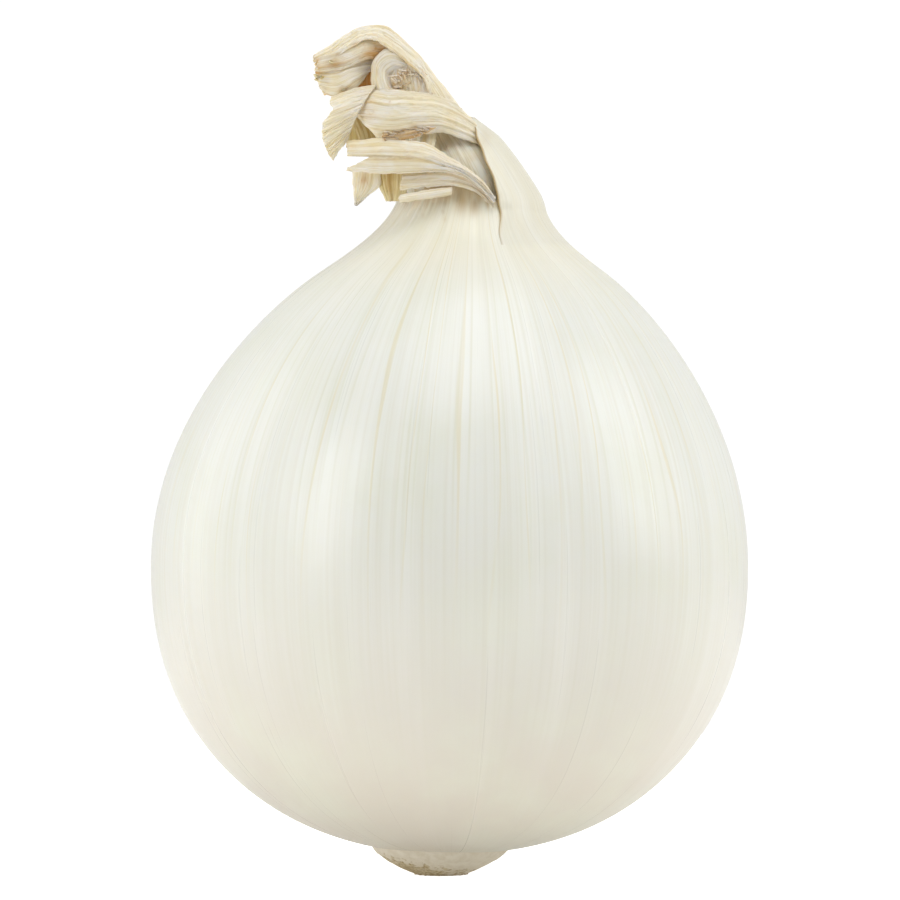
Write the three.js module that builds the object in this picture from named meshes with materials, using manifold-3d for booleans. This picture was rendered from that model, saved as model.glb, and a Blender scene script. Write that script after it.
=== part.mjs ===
// A white onion as it stands on a kitchen shelf: a round bulb on its trimmed root plate, with the dried
// leaves of its neck twisted and folded over to one side.
//
// Millimetres, +Z up. The origin is on the surface that the onion stands on, under the middle of the bulb.
// -Y is the front, where the neck's free skin edge and the collar of torn leaves are.

import * as THREE from "three";
import { mergeVertices } from "three/addons/utils/BufferGeometryUtils.js";
import Module from "manifold-3d";

const wasm = await Module();
wasm.setup();

// ---------------------------------------------------------------- driving dimensions

const BULB_RADIUS = 45; // at the belly
const BELLY_HEIGHT = 46.7; // of the widest ring
const BELLY_DROP = 43.5; // from the belly down to where the bulb would close
const NECK_HEIGHT = 101; // of the rim where the bulb's front skin ends
const NECK_RADIUS = 11; // of that rim, and the size that the leaves are drawn to
const NECK_LEAN = 3; // how far the neck stands off the bulb's middle, to +X
const FOOT_LEAN = 1.2; // the same for the bulb's underside

const PLATE_RADIUS = 10.6; // root plate
const PLATE_HEIGHT = 8; // its whole height, most of it inside the bulb
const PLATE_SHIFT = -1.2; // where its middle is, along X
const FOOT_RADIUS = 5; // the flat spot that the onion stands on

const SKIN = 0.7; // thickness of the free skin round the neck
const LEAF = 0.6; // thickness of a dried leaf
const GAP = 0.3; // between neighbouring pieces

// The bulb's outline. Below the belly it is fuller than an ellipse, which would be 2. Above it, two arcs
// run over the shoulder and into the neck. Their control points are shares of the way out from the neck's
// radius to the belly's, and of the way up from the belly to the rim.
const LOWER_FULLNESS = 2.2;
const SHOULDER_ARC = [[1, 0], [1, 0.345], [0.658, 0.637], [0.357, 0.786]];
const NECK_ARC = [[0.357, 0.786], [0.258, 0.835], [0.05, 0.909], [0, 1]];

// Facets.
const BULB_SIDES = 56;
const LOWER_RINGS = 15;
const SHOULDER_RINGS = 13;
const NECK_RINGS = 6;
const CORE_SIDES = 20;
const LEAF_STEPS = 3; // between two stations
const LEAF_STRIPS = 4; // across

// ---------------------------------------------------------------- materials

const material = (color, roughness) => new THREE.MeshStandardMaterial({ color, roughness, metalness: 0 });
const WHITE_SKIN = material("#e9e8da", 0.42);
const CORK = material("#b09c78", 0.85);
const PALE_FIBRE = material("#ddd2b4", 0.75);
const DRY_LEAF = material("#e4d8c0", 0.7);
const SHADED_LEAF = material("#c3ab78", 0.8);

// ---------------------------------------------------------------- solids and booleans

// A closed geometry as a manifold-3d solid, with its shared vertices merged.
function solidOf(geometry) {
  const bare = geometry.clone();
  bare.deleteAttribute("normal");
  bare.deleteAttribute("uv");
  const merged = mergeVertices(bare, 1e-4);
  return new wasm.Manifold(
    new wasm.Mesh({
      numProp: 3,
      vertProperties: merged.attributes.position.array,
      triVerts: new Uint32Array(merged.index.array),
    }),
  );
}

function geometryOf(solid) {
  const mesh = solid.getMesh();
  return new THREE.BufferGeometry()
    .setAttribute("position", new THREE.BufferAttribute(mesh.vertProperties, 3))
    .setIndex(new THREE.BufferAttribute(mesh.triVerts, 1));
}

function piece(name, solid, finish) {
  const mesh = new THREE.Mesh(geometryOf(solid), finish);
  mesh.name = name;
  return mesh;
}

// Moves every vertex of a geometry to where place(x, y, z) says.
function reshape(geometry, place) {
  const position = geometry.attributes.position;
  for (let i = 0; i < position.count; i++) {
    position.setXYZ(i, ...place(position.getX(i), position.getY(i), position.getZ(i)));
  }
  return geometry;
}

// A profile of [radius, height] points, turned about the vertical axis.
function turned(profile, sides) {
  const points = profile.map(([radius, height]) => new THREE.Vector2(radius, height));
  return new THREE.LatheGeometry(points, sides).rotateX(Math.PI / 2);
}

// ---------------------------------------------------------------- root plate

// The onion's short woody stem. Its roots are trimmed off flat, and its rim swells out under the bulb.
// grow makes the same shape larger all round, to cut the seat that the plate sits in.
function rootPlate(grow) {
  const radius = PLATE_RADIUS + grow;
  const rim = new THREE.QuadraticBezierCurve(
    new THREE.Vector2(FOOT_RADIUS + grow, -grow),
    new THREE.Vector2(radius, PLATE_HEIGHT * 0.26),
    new THREE.Vector2(radius, PLATE_HEIGHT * 0.62),
  ).getPoints(6);
  const profile = [
    [0, -grow],
    ...rim.map((point) => [point.x, point.y]),
    [radius, PLATE_HEIGHT + grow],
    [0, PLATE_HEIGHT + grow],
  ];
  return solidOf(turned(profile, BULB_SIDES).translate(PLATE_SHIFT, 0, 0));
}

// ---------------------------------------------------------------- bulb

function upperArc(controls) {
  const points = controls.map(
    ([out, up]) =>
      new THREE.Vector2(
        THREE.MathUtils.lerp(NECK_RADIUS, BULB_RADIUS, out),
        THREE.MathUtils.lerp(BELLY_HEIGHT, NECK_HEIGHT, up),
      ),
  );
  return new THREE.CubicBezierCurve(...points);
}

// The outline's points from near the axis at the bottom up to the neck's rim.
function bulbOutline() {
  const lower = [];
  for (let ring = 1; ring < LOWER_RINGS; ring++) {
    const down = Math.cos((ring / LOWER_RINGS) * (Math.PI / 2));
    const radius = BULB_RADIUS * (1 - down ** LOWER_FULLNESS) ** (1 / LOWER_FULLNESS);
    lower.push(new THREE.Vector2(radius, BELLY_HEIGHT - BELLY_DROP * down));
  }
  const neck = upperArc(NECK_ARC).getPoints(NECK_RINGS);
  return [...lower, ...upperArc(SHOULDER_ARC).getPoints(SHOULDER_RINGS), ...neck.slice(1)];
}

// How far the bulb's middle stands off the axis at a height: it bows, and the neck leans most.
function bulbShift(height) {
  const fromBelly = (height - BELLY_HEIGHT) / (NECK_HEIGHT - BELLY_HEIGHT);
  return fromBelly > 0 ? NECK_LEAN * fromBelly ** 2 : FOOT_LEAN * fromBelly ** 6;
}

// grow makes the same shape larger all round.
function fleshyBulb(grow) {
  const outline = bulbOutline().map(({ x, y }) => [x + grow, y < NECK_HEIGHT ? y : y + grow]);
  const profile = [[0, BELLY_HEIGHT - BELLY_DROP - grow], ...outline, [0, NECK_HEIGHT + grow]];
  const bow = (x, y, z) => [x + bulbShift(z), y, z];
  return solidOf(reshape(turned(profile, BULB_SIDES), bow));
}

// ---------------------------------------------------------------- neck frame

// Everything in the neck is drawn from the middle of the rim, for a neck of this radius.
const DRAWN_NECK_RADIUS = 11;
const NECK_SCALE = NECK_RADIUS / DRAWN_NECK_RADIUS;

function inNeck([x, y, z]) {
  return new THREE.Vector3(NECK_LEAN + x * NECK_SCALE, y * NECK_SCALE, NECK_HEIGHT + z * NECK_SCALE);
}

// A smooth run of plain numbers through evenly spaced stations.
function smooth(values) {
  const curve = new THREE.CatmullRomCurve3(values.map((value) => new THREE.Vector3(value, 0, 0)));
  return (share) => curve.getPoint(share).x;
}

// A smooth curve through stations in the neck.
function rail(stations) {
  return new THREE.CatmullRomCurve3(stations.map(inNeck), false, "centripetal");
}

// The hood is the free top of the outermost skin: it wraps the right and the back of the neck, leans
// over with it, and leaves the front open along its free edge.
const HOOD_HEIGHTS = smooth([-4, 0.4, 3.5, 7.1, 9.9, 12]);
const HOOD_MIDDLES = smooth([0, 0, -0.9, -2.3, -3.6, -5.2]);
const HOOD_RADII = smooth([12.3, 11.25, 10.25, 9.1, 8.2, 6.8]);
const HOOD_EDGE = smooth([24, 24, 27, 33, 42, 73]); // degrees from the front, round by the right
const HOOD_END = smooth([250, 245, 240, 236, 230, 222]);
const HOOD_STEPS = [22, 10];

function hood(grow) {
  const sheet = new THREE.BoxGeometry(1, 1, 1, HOOD_STEPS[0], 1, HOOD_STEPS[1]);
  const wrap = (around, through, up) => {
    const share = up + 0.5;
    const from = HOOD_EDGE(share);
    const radius = HOOD_RADII(share) * NECK_SCALE - SKIN / 2 - through * (SKIN + 2 * grow);
    const side = Math.abs(around) === 0.5 ? Math.sign(around) * grow : 0;
    const end = Math.abs(up) === 0.5 ? Math.sign(up) * grow : 0;
    const angle = THREE.MathUtils.degToRad(from + (HOOD_END(share) - from) * (around + 0.5)) + side / radius;
    const middle = inNeck([HOOD_MIDDLES(share), 0, HOOD_HEIGHTS(share)]);
    return [middle.x + radius * Math.sin(angle), middle.y - radius * Math.cos(angle), middle.z + end];
  };
  return solidOf(reshape(sheet, wrap));
}

// The hood grows out of the bulb's skin, so the two are one solid.
function bulb() {
  const skin = fleshyBulb(0).add(hood(0));
  return skin.subtract(rootPlate(GAP)).subtract(neckCore(GAP));
}

// ---------------------------------------------------------------- neck core

// The rolled-up inner leaves: a tapering stalk that stands on the rim and bends over to the left.
const CORE_PATH = [
  [0, 0, -3],
  [0, 0, 0.3],
  [-0.8, 0, 3.6],
  [-2.4, 0, 7.2],
  [-4.4, 0, 10.8],
  [-6.9, 0, 14.6],
  [-9.3, 0, 17.6],
  [-11.8, 0, 20.2],
];
const CORE_RADII = smooth([9.4, 9.4, 8.5, 7, 4.9, 3.1, 2.8, 2.4]);
const CORE_LEAN = smooth([0, 0, 0, 6, 22, 38, 42, 45]); // degrees that its cross-section tips over
const CORE_STEPS = 14;

function neckCore(grow) {
  const path = rail(CORE_PATH);
  const stalk = new THREE.CylinderGeometry(1, 1, 1, CORE_SIDES, CORE_STEPS);
  const bend = (x, up, y) => {
    const share = up + 0.5;
    const lean = THREE.MathUtils.degToRad(CORE_LEAN(share));
    const radius = CORE_RADII(share) * NECK_SCALE + grow;
    const end = Math.abs(up) === 0.5 ? Math.sign(up) * grow : 0;
    const side = new THREE.Vector3(Math.cos(lean), 0, Math.sin(lean));
    const along = new THREE.Vector3(-side.z, 0, side.x);
    const point = path.getPoint(share).addScaledVector(side, x * radius).addScaledVector(along, end);
    return [point.x, -y * radius, point.z];
  };
  return solidOf(reshape(stalk, bend));
}

// ---------------------------------------------------------------- dried leaves

// A dried leaf is a thin blade that runs through stations from its root to its tip. At each station it
// has three points: one edge, the middle and the other edge. notch(across) is the share of its length
// that is torn off the tip there. grow thickens and widens it, to cut clearance in a neighbour.
function leaf({ first, middle, second, notch = () => 0 }, grow = 0) {
  const rails = [first, middle, second].map(rail);
  const steps = LEAF_STEPS * (middle.length - 1);
  const blade = new THREE.BoxGeometry(2, 1, 1, LEAF_STRIPS, 1, steps);

  // A parabola through the three rails gives the blade's middle surface.
  const surface = (across, share) => {
    const [a, m, b] = rails.map((curve) => curve.getPoint(share));
    const slope = b.clone().sub(a).multiplyScalar(across / 2);
    const bulge = a.clone().add(b).multiplyScalar(0.5).sub(m).multiplyScalar(across * across);
    return m.add(slope).add(bulge);
  };

  const bend = (across, through, up) => {
    const share = (up + 0.5) * (1 - notch(across));
    const near = 0.01;
    const point = surface(across, share);
    const wide = surface(across + near, share).sub(surface(across - near, share)).normalize();
    const before = surface(across, Math.max(0, share - near));
    const along = surface(across, Math.min(1, share + near)).sub(before).normalize();
    const normal = wide.clone().cross(along).normalize();
    const end = Math.abs(up) === 0.5 ? Math.sign(up) * grow : 0;
    const edge = Math.abs(across) === 1 ? Math.sign(across) * grow : 0;
    point.addScaledVector(normal, -through * (LEAF + 2 * grow));
    return point.addScaledVector(along, end).addScaledVector(wide, edge).toArray();
  };
  return solidOf(reshape(blade, bend));
}

const LEAVES = {
  // The broad outer leaf. It comes up the right side, folds over the top and opens at the left.
  bent_leaf: {
    finish: DRY_LEAF,
    first: [
      [-2.6, -3.6, 15.2], [-5.2, -4.8, 17.2], [-6.6, -5.6, 19.6], [-9.6, -6.2, 21.6], [-13, -6.2, 23.6],
      [-16.1, -6, 24.2], [-18.5, -5.6, 22.9], [-19.6, -5.2, 21.3], [-19.7, -5, 20.5],
    ],
    middle: [
      [-2.9, 0, 16.2], [-5.7, 0, 19.8], [-8.6, 0, 23.4], [-10.6, 0, 25.6], [-12.9, 0, 26.9],
      [-15.8, 0, 26.2], [-18.6, 0, 25.1], [-21.3, 0, 23.4], [-23.2, 0, 21],
    ],
    second: [
      [-5.5, 4.9, 12.5], [-8.5, 5.8, 14.8], [-11.5, 6.1, 16.8], [-13.5, 6.2, 18], [-15, 6.2, 18.8],
      [-16.5, 6.1, 18.6], [-18.5, 6, 18], [-20.5, 5.6, 17.2], [-22, 5.2, 16.5],
    ],
  },

  // Two inner leaves that show in the open end of the fold, one under the other.
  mouth_leaf_upper: {
    finish: DRY_LEAF,
    first: [[-12, -2.4, 23], [-15.4, -3.6, 23.3], [-18.2, -3.7, 22.2], [-20.4, -3, 20.8]],
    middle: [[-12.4, -3.4, 22.4], [-15.4, -4.5, 22.4], [-18.3, -4.6, 21.4], [-20.3, -3.8, 20]],
    second: [[-12.9, -3.2, 21.7], [-15.6, -4.3, 21.4], [-18.4, -4.4, 20.4], [-20.2, -3.7, 19.3]],
  },
  mouth_leaf_lower: {
    finish: DRY_LEAF,
    first: [[-13.9, -2.2, 20.9], [-16.8, -2.8, 20.4], [-19.8, -2.6, 19.4], [-23.2, -1.6, 20]],
    middle: [[-14.3, -2.8, 20.4], [-17.2, -4.2, 19.2], [-19.9, -4.4, 18], [-23, -3, 18.3]],
    second: [[-14.6, -2.6, 19.8], [-16.2, -4.2, 17.6], [-19, -4.6, 16.1], [-21.8, -4, 16.2]],
  },

  // The leaf that comes out from under the hood, crosses the front and turns back at the left.
  strap_leaf: {
    finish: DRY_LEAF,
    first: [
      [-0.6, -2.4, 12.6], [-2.4, -4.8, 14.6], [-4.8, -6.3, 15.9], [-8.2, -6.8, 16.4], [-11.6, -6.9, 16.7],
      [-13.9, -5.8, 17.2], [-13.7, -3.4, 17.4],
    ],
    middle: [
      [0.4, -3.8, 10.8], [-1.5, -6.9, 12.2], [-4.4, -8.7, 13.2], [-8, -9.6, 13.4], [-11.6, -9.6, 13.4],
      [-14.2, -7.6, 13.5], [-14.7, -4.2, 14],
    ],
    second: [
      [1, -5, 8.9], [-1, -7.3, 9.4], [-3.9, -8.8, 10.3], [-7.2, -9.2, 10.2], [-10.8, -9.1, 9.7],
      [-13.6, -7.4, 9.9], [-14.2, -4.5, 10.3],
    ],
  },

  // Its upper margin, twisted upright beside the hole in the front.
  twist_leaf: {
    finish: DRY_LEAF,
    first: [[-14, -4.2, 18.3], [-14.3, -4.6, 19.2], [-14.1, -4.4, 20.6], [-13.4, -3.4, 21.8]],
    middle: [[-12.7, -5.4, 17.9], [-13.2, -5.8, 19.1], [-13.1, -5.4, 20.6], [-12.4, -4.2, 21.5]],
    second: [[-11.2, -5.2, 17.6], [-11.9, -5.4, 18.8], [-11.9, -5, 20.1], [-11.4, -4.4, 21]],
  },

  // The leaf that hangs down at the left, and the shaded one behind it.
  hanging_leaf: {
    finish: DRY_LEAF,
    first: [
      [-16.3, -4.6, 17.2], [-19.2, -5.6, 15.6], [-20.8, -6, 14], [-21.4, -6, 11.9], [-21.9, -5.8, 10.4],
      [-21.3, -5.8, 8.8],
    ],
    middle: [
      [-15.4, -5.6, 16.6], [-17.4, -7, 15], [-19, -7.4, 13], [-19.8, -7.2, 11], [-20.6, -6.7, 9.4],
      [-20.7, -6.3, 7.7],
    ],
    second: [
      [-14.4, -5.4, 15.8], [-15.6, -6.8, 14.2], [-17.1, -7, 12.4], [-17.8, -6.8, 10.5], [-18.9, -6.4, 8.8],
      [-20.1, -6.2, 6.8],
    ],
  },
  inner_hanging_leaf: {
    finish: SHADED_LEAF,
    first: [[-15.9, -3.2, 15.9], [-17.2, -3.6, 12.6], [-17.6, -3.4, 9.3], [-17, -3.4, 6.5]],
    middle: [[-15.4, -2.6, 15.4], [-15.9, -2.4, 12.2], [-16, -2.2, 9], [-15.6, -2.4, 6.3]],
    second: [[-14.8, -3, 15], [-14.2, -3, 12.2], [-14.1, -3, 9], [-14.4, -3, 6.3]],
  },

  // The collar: a torn leaf wrapped across the front, and the layer under it.
  collar_leaf: {
    finish: DRY_LEAF,
    notch: (across) => 0.12 * Math.max(0, 1 - 3 * Math.abs(across)),
    first: [
      [3.9, -11.6, 0.4], [2.2, -11.5, 2.7], [-0.6, -11.5, 4.9], [-3.3, -11.1, 6.8], [-6.8, -10.6, 8.6],
      [-11.5, -9.6, 9.2], [-18.2, -7.4, 9.2],
    ],
    middle: [
      [3.8, -11.9, 0], [2, -12.1, 2.1], [-0.8, -12.2, 4.2], [-3.8, -12.1, 5.4], [-7.5, -11.9, 6.4],
      [-12, -10.9, 6.6], [-18.2, -8.4, 6.7],
    ],
    second: [
      [3.8, -11.7, -0.4], [1.8, -11.9, 1.6], [-0.9, -12, 3.5], [-4, -12, 4.2], [-7.6, -11.8, 4.1],
      [-12, -10.8, 3.9], [-18.3, -8.2, 4.3],
    ],
  },
  collar_under_leaf: {
    finish: DRY_LEAF,
    first: [[3.4, -10.8, -0.2], [1, -10.6, 2.4], [-2.4, -10.4, 3.9], [-6, -10, 4.2], [-9.6, -9.4, 3.8]],
    middle: [[3.3, -11, -0.6], [0.9, -11.1, 1.7], [-2.6, -10.9, 3], [-6.2, -10.5, 3], [-9.9, -9.9, 2.4]],
    second: [[3.4, -11, -1], [0.7, -11.1, 1], [-2.7, -10.9, 2.1], [-6.2, -10.5, 1.8], [-10, -9.9, 1.2]],
  },
  curled_strip: {
    finish: DRY_LEAF,
    first: [[-2.6, -11.8, 1.9], [-6.4, -11.5, 1.4], [-10.2, -10.7, 0.9]],
    middle: [[-2.6, -12.1, 1.4], [-6.4, -11.9, 0.8], [-10.4, -11, 0.4]],
    second: [[-2.7, -11.8, 0.8], [-6.5, -11.5, 0.3], [-10.4, -10.7, -0.1]],
  },

  // Torn pieces that hang under the collar at the left.
  torn_flap: {
    finish: DRY_LEAF,
    first: [[-17.4, -6, 5], [-17.4, -6.4, 2.6], [-17.1, -6.7, 0.8], [-17, -6.8, -0.5]],
    middle: [[-15.4, -7, 5], [-15.8, -7.4, 2.4], [-16.5, -7.2, 0.6], [-16.9, -7, -0.6]],
    second: [[-13.4, -7.4, 5], [-13.8, -7.6, 2.4], [-15.6, -7.3, 0.8], [-16.6, -7, -0.6]],
  },
  leaf_stub: {
    finish: SHADED_LEAF,
    first: [[-13, -7.2, 5.2], [-12.8, -7.3, 2.4], [-12.2, -7.4, 0.2]],
    middle: [[-11.3, -8, 5.2], [-11.2, -8.2, 2.4], [-11.2, -8.2, 0.2]],
    second: [[-9.3, -8.3, 5.2], [-9.4, -8.6, 2.4], [-10.2, -8.6, 0.2]],
  },

  // A narrow strip that crosses the gap between the strap and the collar.
  short_strip: {
    finish: DRY_LEAF,
    first: [[-6.9, -6.9, 11.4], [-6.9, -7.7, 9.6], [-7.2, -8.9, 7.6]],
    middle: [[-6, -7.1, 11.5], [-6, -8, 9.6], [-6.3, -9.2, 7.6]],
    second: [[-5.1, -6.9, 11.4], [-5.1, -7.7, 9.6], [-5.4, -8.9, 7.6]],
  },
};

// ---------------------------------------------------------------- the onion

const onion = new THREE.Group();
onion.name = "onion";

onion.add(piece("root_plate", rootPlate(0), CORK));

onion.add(piece("bulb", bulb(), WHITE_SKIN));
onion.add(piece("neck_core", neckCore(0).subtract(hood(GAP)), PALE_FIBRE));

// Each leaf gives way to the stalk, to the hood and to the leaves before it.
const occupied = [neckCore(GAP), hood(GAP), fleshyBulb(GAP)];
for (const [name, { finish, ...shape }] of Object.entries(LEAVES)) {
  const solid = occupied.reduce((rest, taken) => rest.subtract(taken), leaf(shape));
  onion.add(piece(name, solid, finish));
  occupied.push(leaf(shape, GAP));
}

export default onion;
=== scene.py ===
# A white onion with a twisted, folded neck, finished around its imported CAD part.
import math

import bpy
import numpy as np
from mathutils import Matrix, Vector, noise


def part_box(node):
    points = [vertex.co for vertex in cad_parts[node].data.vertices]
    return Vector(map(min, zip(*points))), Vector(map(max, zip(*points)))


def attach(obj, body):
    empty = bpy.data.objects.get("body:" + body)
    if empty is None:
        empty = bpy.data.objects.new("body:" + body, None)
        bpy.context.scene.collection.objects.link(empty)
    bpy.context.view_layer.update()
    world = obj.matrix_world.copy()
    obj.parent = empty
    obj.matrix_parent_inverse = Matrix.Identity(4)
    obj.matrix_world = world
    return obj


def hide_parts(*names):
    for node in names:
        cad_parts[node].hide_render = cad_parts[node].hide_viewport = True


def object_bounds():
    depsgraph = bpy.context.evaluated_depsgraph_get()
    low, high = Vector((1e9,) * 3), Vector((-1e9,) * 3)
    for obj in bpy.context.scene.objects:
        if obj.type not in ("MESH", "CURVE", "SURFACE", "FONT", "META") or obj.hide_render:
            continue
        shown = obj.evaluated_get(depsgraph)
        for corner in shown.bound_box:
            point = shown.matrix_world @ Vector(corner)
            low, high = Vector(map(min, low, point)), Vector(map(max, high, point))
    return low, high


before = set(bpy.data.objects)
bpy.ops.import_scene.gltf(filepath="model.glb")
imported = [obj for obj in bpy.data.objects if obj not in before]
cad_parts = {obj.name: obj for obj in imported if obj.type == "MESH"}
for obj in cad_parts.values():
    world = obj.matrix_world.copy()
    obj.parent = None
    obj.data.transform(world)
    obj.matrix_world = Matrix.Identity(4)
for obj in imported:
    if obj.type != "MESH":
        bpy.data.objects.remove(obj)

cad_low, cad_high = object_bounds()
MM = 0.001

# ---------------------------------------------------------------- bulb
# The bulb is the swollen bases of the onion's leaves, one inside another. What shows is the outermost skin:
# a dry, waxy, half clear membrane, drawn tight over moist white flesh, with its veins running from the root
# plate up to the neck.

bulb_low, bulb_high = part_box("bulb")
core_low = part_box("neck_core")[0]

BELLY_RADIUS = (bulb_high.x - bulb_low.x) / 2
BELLY_HEIGHT = 46.7 * MM
BELLY_DROP = 43.5 * MM  # from the belly down to where the bulb closes
CORE_DEPTH = 3 * MM  # of the neck core's foot, below the rim
RIM_HEIGHT = core_low.z + CORE_DEPTH
RIM_RADIUS = 11 * MM
RIM_WALL = 1.2 * MM  # how far the rim rounds inwards
RIM_HOLLOW = 2 * MM  # how far the bulb drops inside the rim
NECK_LEAN = 3 * MM
FOOT_LEAN = 1.2 * MM
LOWER_FULLNESS = 2.2  # 2 is an ellipse, and more is squarer
SHOULDER_ARC = [(1, 0), (1, 0.345), (0.658, 0.637), (0.357, 0.786)]
NECK_ARC = [(0.357, 0.786), (0.258, 0.835), (0.05, 0.909), (0, 1)]
BULB_SIDES = 300
BULB_RINGS = 200
LOWER_SHARE = 0.37  # of the rings
SHOULDER_SHARE = 0.7
RIM_SHARE = 0.95
PLEAT_HEIGHT = 0.13 * MM
WAVE_HEIGHT = 0.2 * MM
COLLAR_TURN = math.radians(-105)  # the direction round the neck that the collar's middle is in
SKIN_RISE = 3.6 * MM  # of the torn front skin over the rim, behind the collar
SIDE_RISE = 1.6 * MM  # of the ragged rim at the left
RISE_LEAN = 0.5 * MM  # how far the torn front skin leans in
# Near the collar the brown band at the rim is partly the torn skin's own brown and partly painted shade
# under the collar.
AGED_AND_SHADED_BORDER = (-2.6 * MM, 1.2 * MM)  # where the torn skin begins and ends to brown, from the rim
AGED_AND_SHADED_WAVER = 1.6 * MM  # how far that border strays
BULB_AGEING_AND_SHADE = 0.6
HEIGHT_UNIT = 100 * MM  # the skin's patterns count height in this

# Small brown nicks at the rim, and larger golden patches of painted shade under the collar and the pale
# strip: x, z and size in mm, and how brown.
NICKS_AND_SHADE = [
    (-4.6, 100.3, 0.5, 0.6), (-3.9, 98.9, 0.45, 0.5), (-0.9, 99.4, 0.4, 0.6), (-0.6, 98.2, 0.4, 0.5),
    # Those at (-2.4, 100.4), (1.9, 101.2) and (3.7, 100.4) are painted shade under the collar and the strip.
    (-1.7, 90.9, 1.1, 0.22), (-2.4, 100.4, 1.5, 0.32), (1.9, 101.2, 1.5, 1.1), (3.7, 100.4, 1.2, 1),
    (-6, 100.4, 1.2, 0.35),
]


def deselect_all():
    bpy.ops.object.select_all(action="DESELECT")


def vertices_of(piece):
    flat = np.empty(len(piece.data.vertices) * 3)
    piece.data.vertices.foreach_get("co", flat)
    return flat.reshape(-1, 3)


def move_vertices(piece, places):
    piece.data.vertices.foreach_set("co", np.ascontiguousarray(places).ravel())
    piece.data.update()


def mark_points(piece, name, x, y, z):
    """Keeps three values for each point, which the piece's material reads by this name."""
    layer = piece.data.attributes.new(name, "FLOAT_VECTOR", "POINT")
    layer.data.foreach_set("vector", np.stack(np.broadcast_arrays(x, y, z), 1).ravel())


def mark_ageing_and_shade(piece, ageing_and_shade):
    """Keeps how brown each point is, from 0 to 1: its own browning, and painted shade where a piece lies in
    shadow.
    """
    mark_points(piece, "ageing_and_shade", ageing_and_shade, ageing_and_shade, ageing_and_shade)


def round_piece(name, sides, rings):
    """A ball to be shaped. Gives the piece, and each point's direction round it and share of the way up."""
    deselect_all()
    bpy.ops.mesh.primitive_uv_sphere_add(segments=sides, ring_count=rings, radius=1)
    piece = bpy.context.object
    piece.name = name
    ball = vertices_of(piece)
    return piece, np.arctan2(ball[:, 1], ball[:, 0]), np.arccos(np.clip(-ball[:, 2], -1, 1)) / math.pi


def waver(x, y, z):
    """A smooth random value from -1 to 1 at each place, the same each time."""
    places = np.stack(np.broadcast_arrays(x, y, z), 1)
    return np.array([noise.noise(Vector(place)) for place in places])


def round_waver(turn, count, layer):
    """A random value that waves round the axis, count times to a radian. layer changes it with height."""
    return waver(count * np.cos(turn), count * np.sin(turn), layer)


def ramp(values, start, end):
    """0 up to start and 1 from end on, with a soft rise between them."""
    share = np.clip((values - start) / (end - start), 0, 1)
    return share * share * (3 - 2 * share)


def bezier(controls, share):
    a, b, c, d = (np.array(point, float) for point in controls)
    s = share[:, None]
    return a * (1 - s) ** 3 + 3 * b * s * (1 - s) ** 2 + 3 * c * s * s * (1 - s) + d * s**3


def bulb_outline(share):
    """Radius and height along the outline: up from the bottom, over the rim and down inside the neck."""
    down = np.cos(np.clip(share / LOWER_SHARE, 0, 1) * math.pi / 2)
    radius = BELLY_RADIUS * (1 - down**LOWER_FULLNESS) ** (1 / LOWER_FULLNESS)
    height = BELLY_HEIGHT - BELLY_DROP * down
    arcs = [
        (SHOULDER_ARC, LOWER_SHARE, SHOULDER_SHARE),
        (NECK_ARC, SHOULDER_SHARE, RIM_SHARE),
    ]
    for arc, start, end in arcs:
        here = (share > start) & (share <= end)
        point = bezier(arc, (share[here] - start) / (end - start))
        radius[here] = RIM_RADIUS + (BELLY_RADIUS - RIM_RADIUS) * point[:, 0]
        height[here] = BELLY_HEIGHT + (RIM_HEIGHT - BELLY_HEIGHT) * point[:, 1]
    inside = share > RIM_SHARE
    turn = (share[inside] - RIM_SHARE) / (1 - RIM_SHARE)
    radius[inside] = RIM_RADIUS - RIM_WALL * ramp(turn, 0.35, 0.7)
    radius[inside] *= 1 - ramp(turn, 0.75, 1)
    height[inside] = RIM_HEIGHT - RIM_HOLLOW * ramp(turn, 0.5, 0.8)
    return radius, height


def bulb_shift(height):
    """How far the middle stands off the axis at a height: the bulb bows, and its neck leans most."""
    up = (height - BELLY_HEIGHT) / (RIM_HEIGHT - BELLY_HEIGHT)
    return np.where(up > 0, NECK_LEAN * up**2, FOOT_LEAN * up**6)


def skin_relief(turn, height):
    """How far the skin stands out of the smooth outline: pleats by the neck, and a slight wave all over."""
    drawn_in = ramp(height, BELLY_HEIGHT, RIM_HEIGHT)
    pleats = 1.3 * round_waver(turn, 8, height / (60 * MM)) + round_waver(turn, 22, height / (40 * MM) + 7)
    wave = round_waver(turn, 1.6, height / (30 * MM) + 3) - 0.5
    return PLEAT_HEIGHT * drawn_in**2 * pleats + WAVE_HEIGHT * (1 - drawn_in) * wave


def map_round(piece, turn, height):
    """Keeps the direction round the onion's axis and the height for the skin's material: as an attribute,
    and as a UV map with its seam at the back."""
    mark_points(piece, "meridian", np.cos(turn), np.sin(turn), height / HEIGHT_UNIT)
    corners = np.empty(len(piece.data.loops), dtype=int)
    piece.data.loops.foreach_get("vertex_index", corners)
    first = np.array([face.loop_start for face in piece.data.polygons])
    size = np.array([face.loop_total for face in piece.data.polygons])
    across = (((turn - math.pi / 2) / (2 * math.pi)) % 1)[corners]
    furthest = np.repeat(np.maximum.reduceat(across, first), size)
    across = across + ((furthest > 0.75) & (across < 0.25))
    places = np.stack([across, height[corners] / HEIGHT_UNIT], 1)
    piece.data.uv_layers.active.data.foreach_set("uv", places.ravel())


bulb, bulb_turn, bulb_share = round_piece("bulb_body", BULB_SIDES, BULB_RINGS)
bulb_radius, bulb_height = bulb_outline(bulb_share)
bulb_radius = bulb_radius + skin_relief(bulb_turn, bulb_height) * ramp(bulb_radius, 0, 8 * MM)

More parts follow.
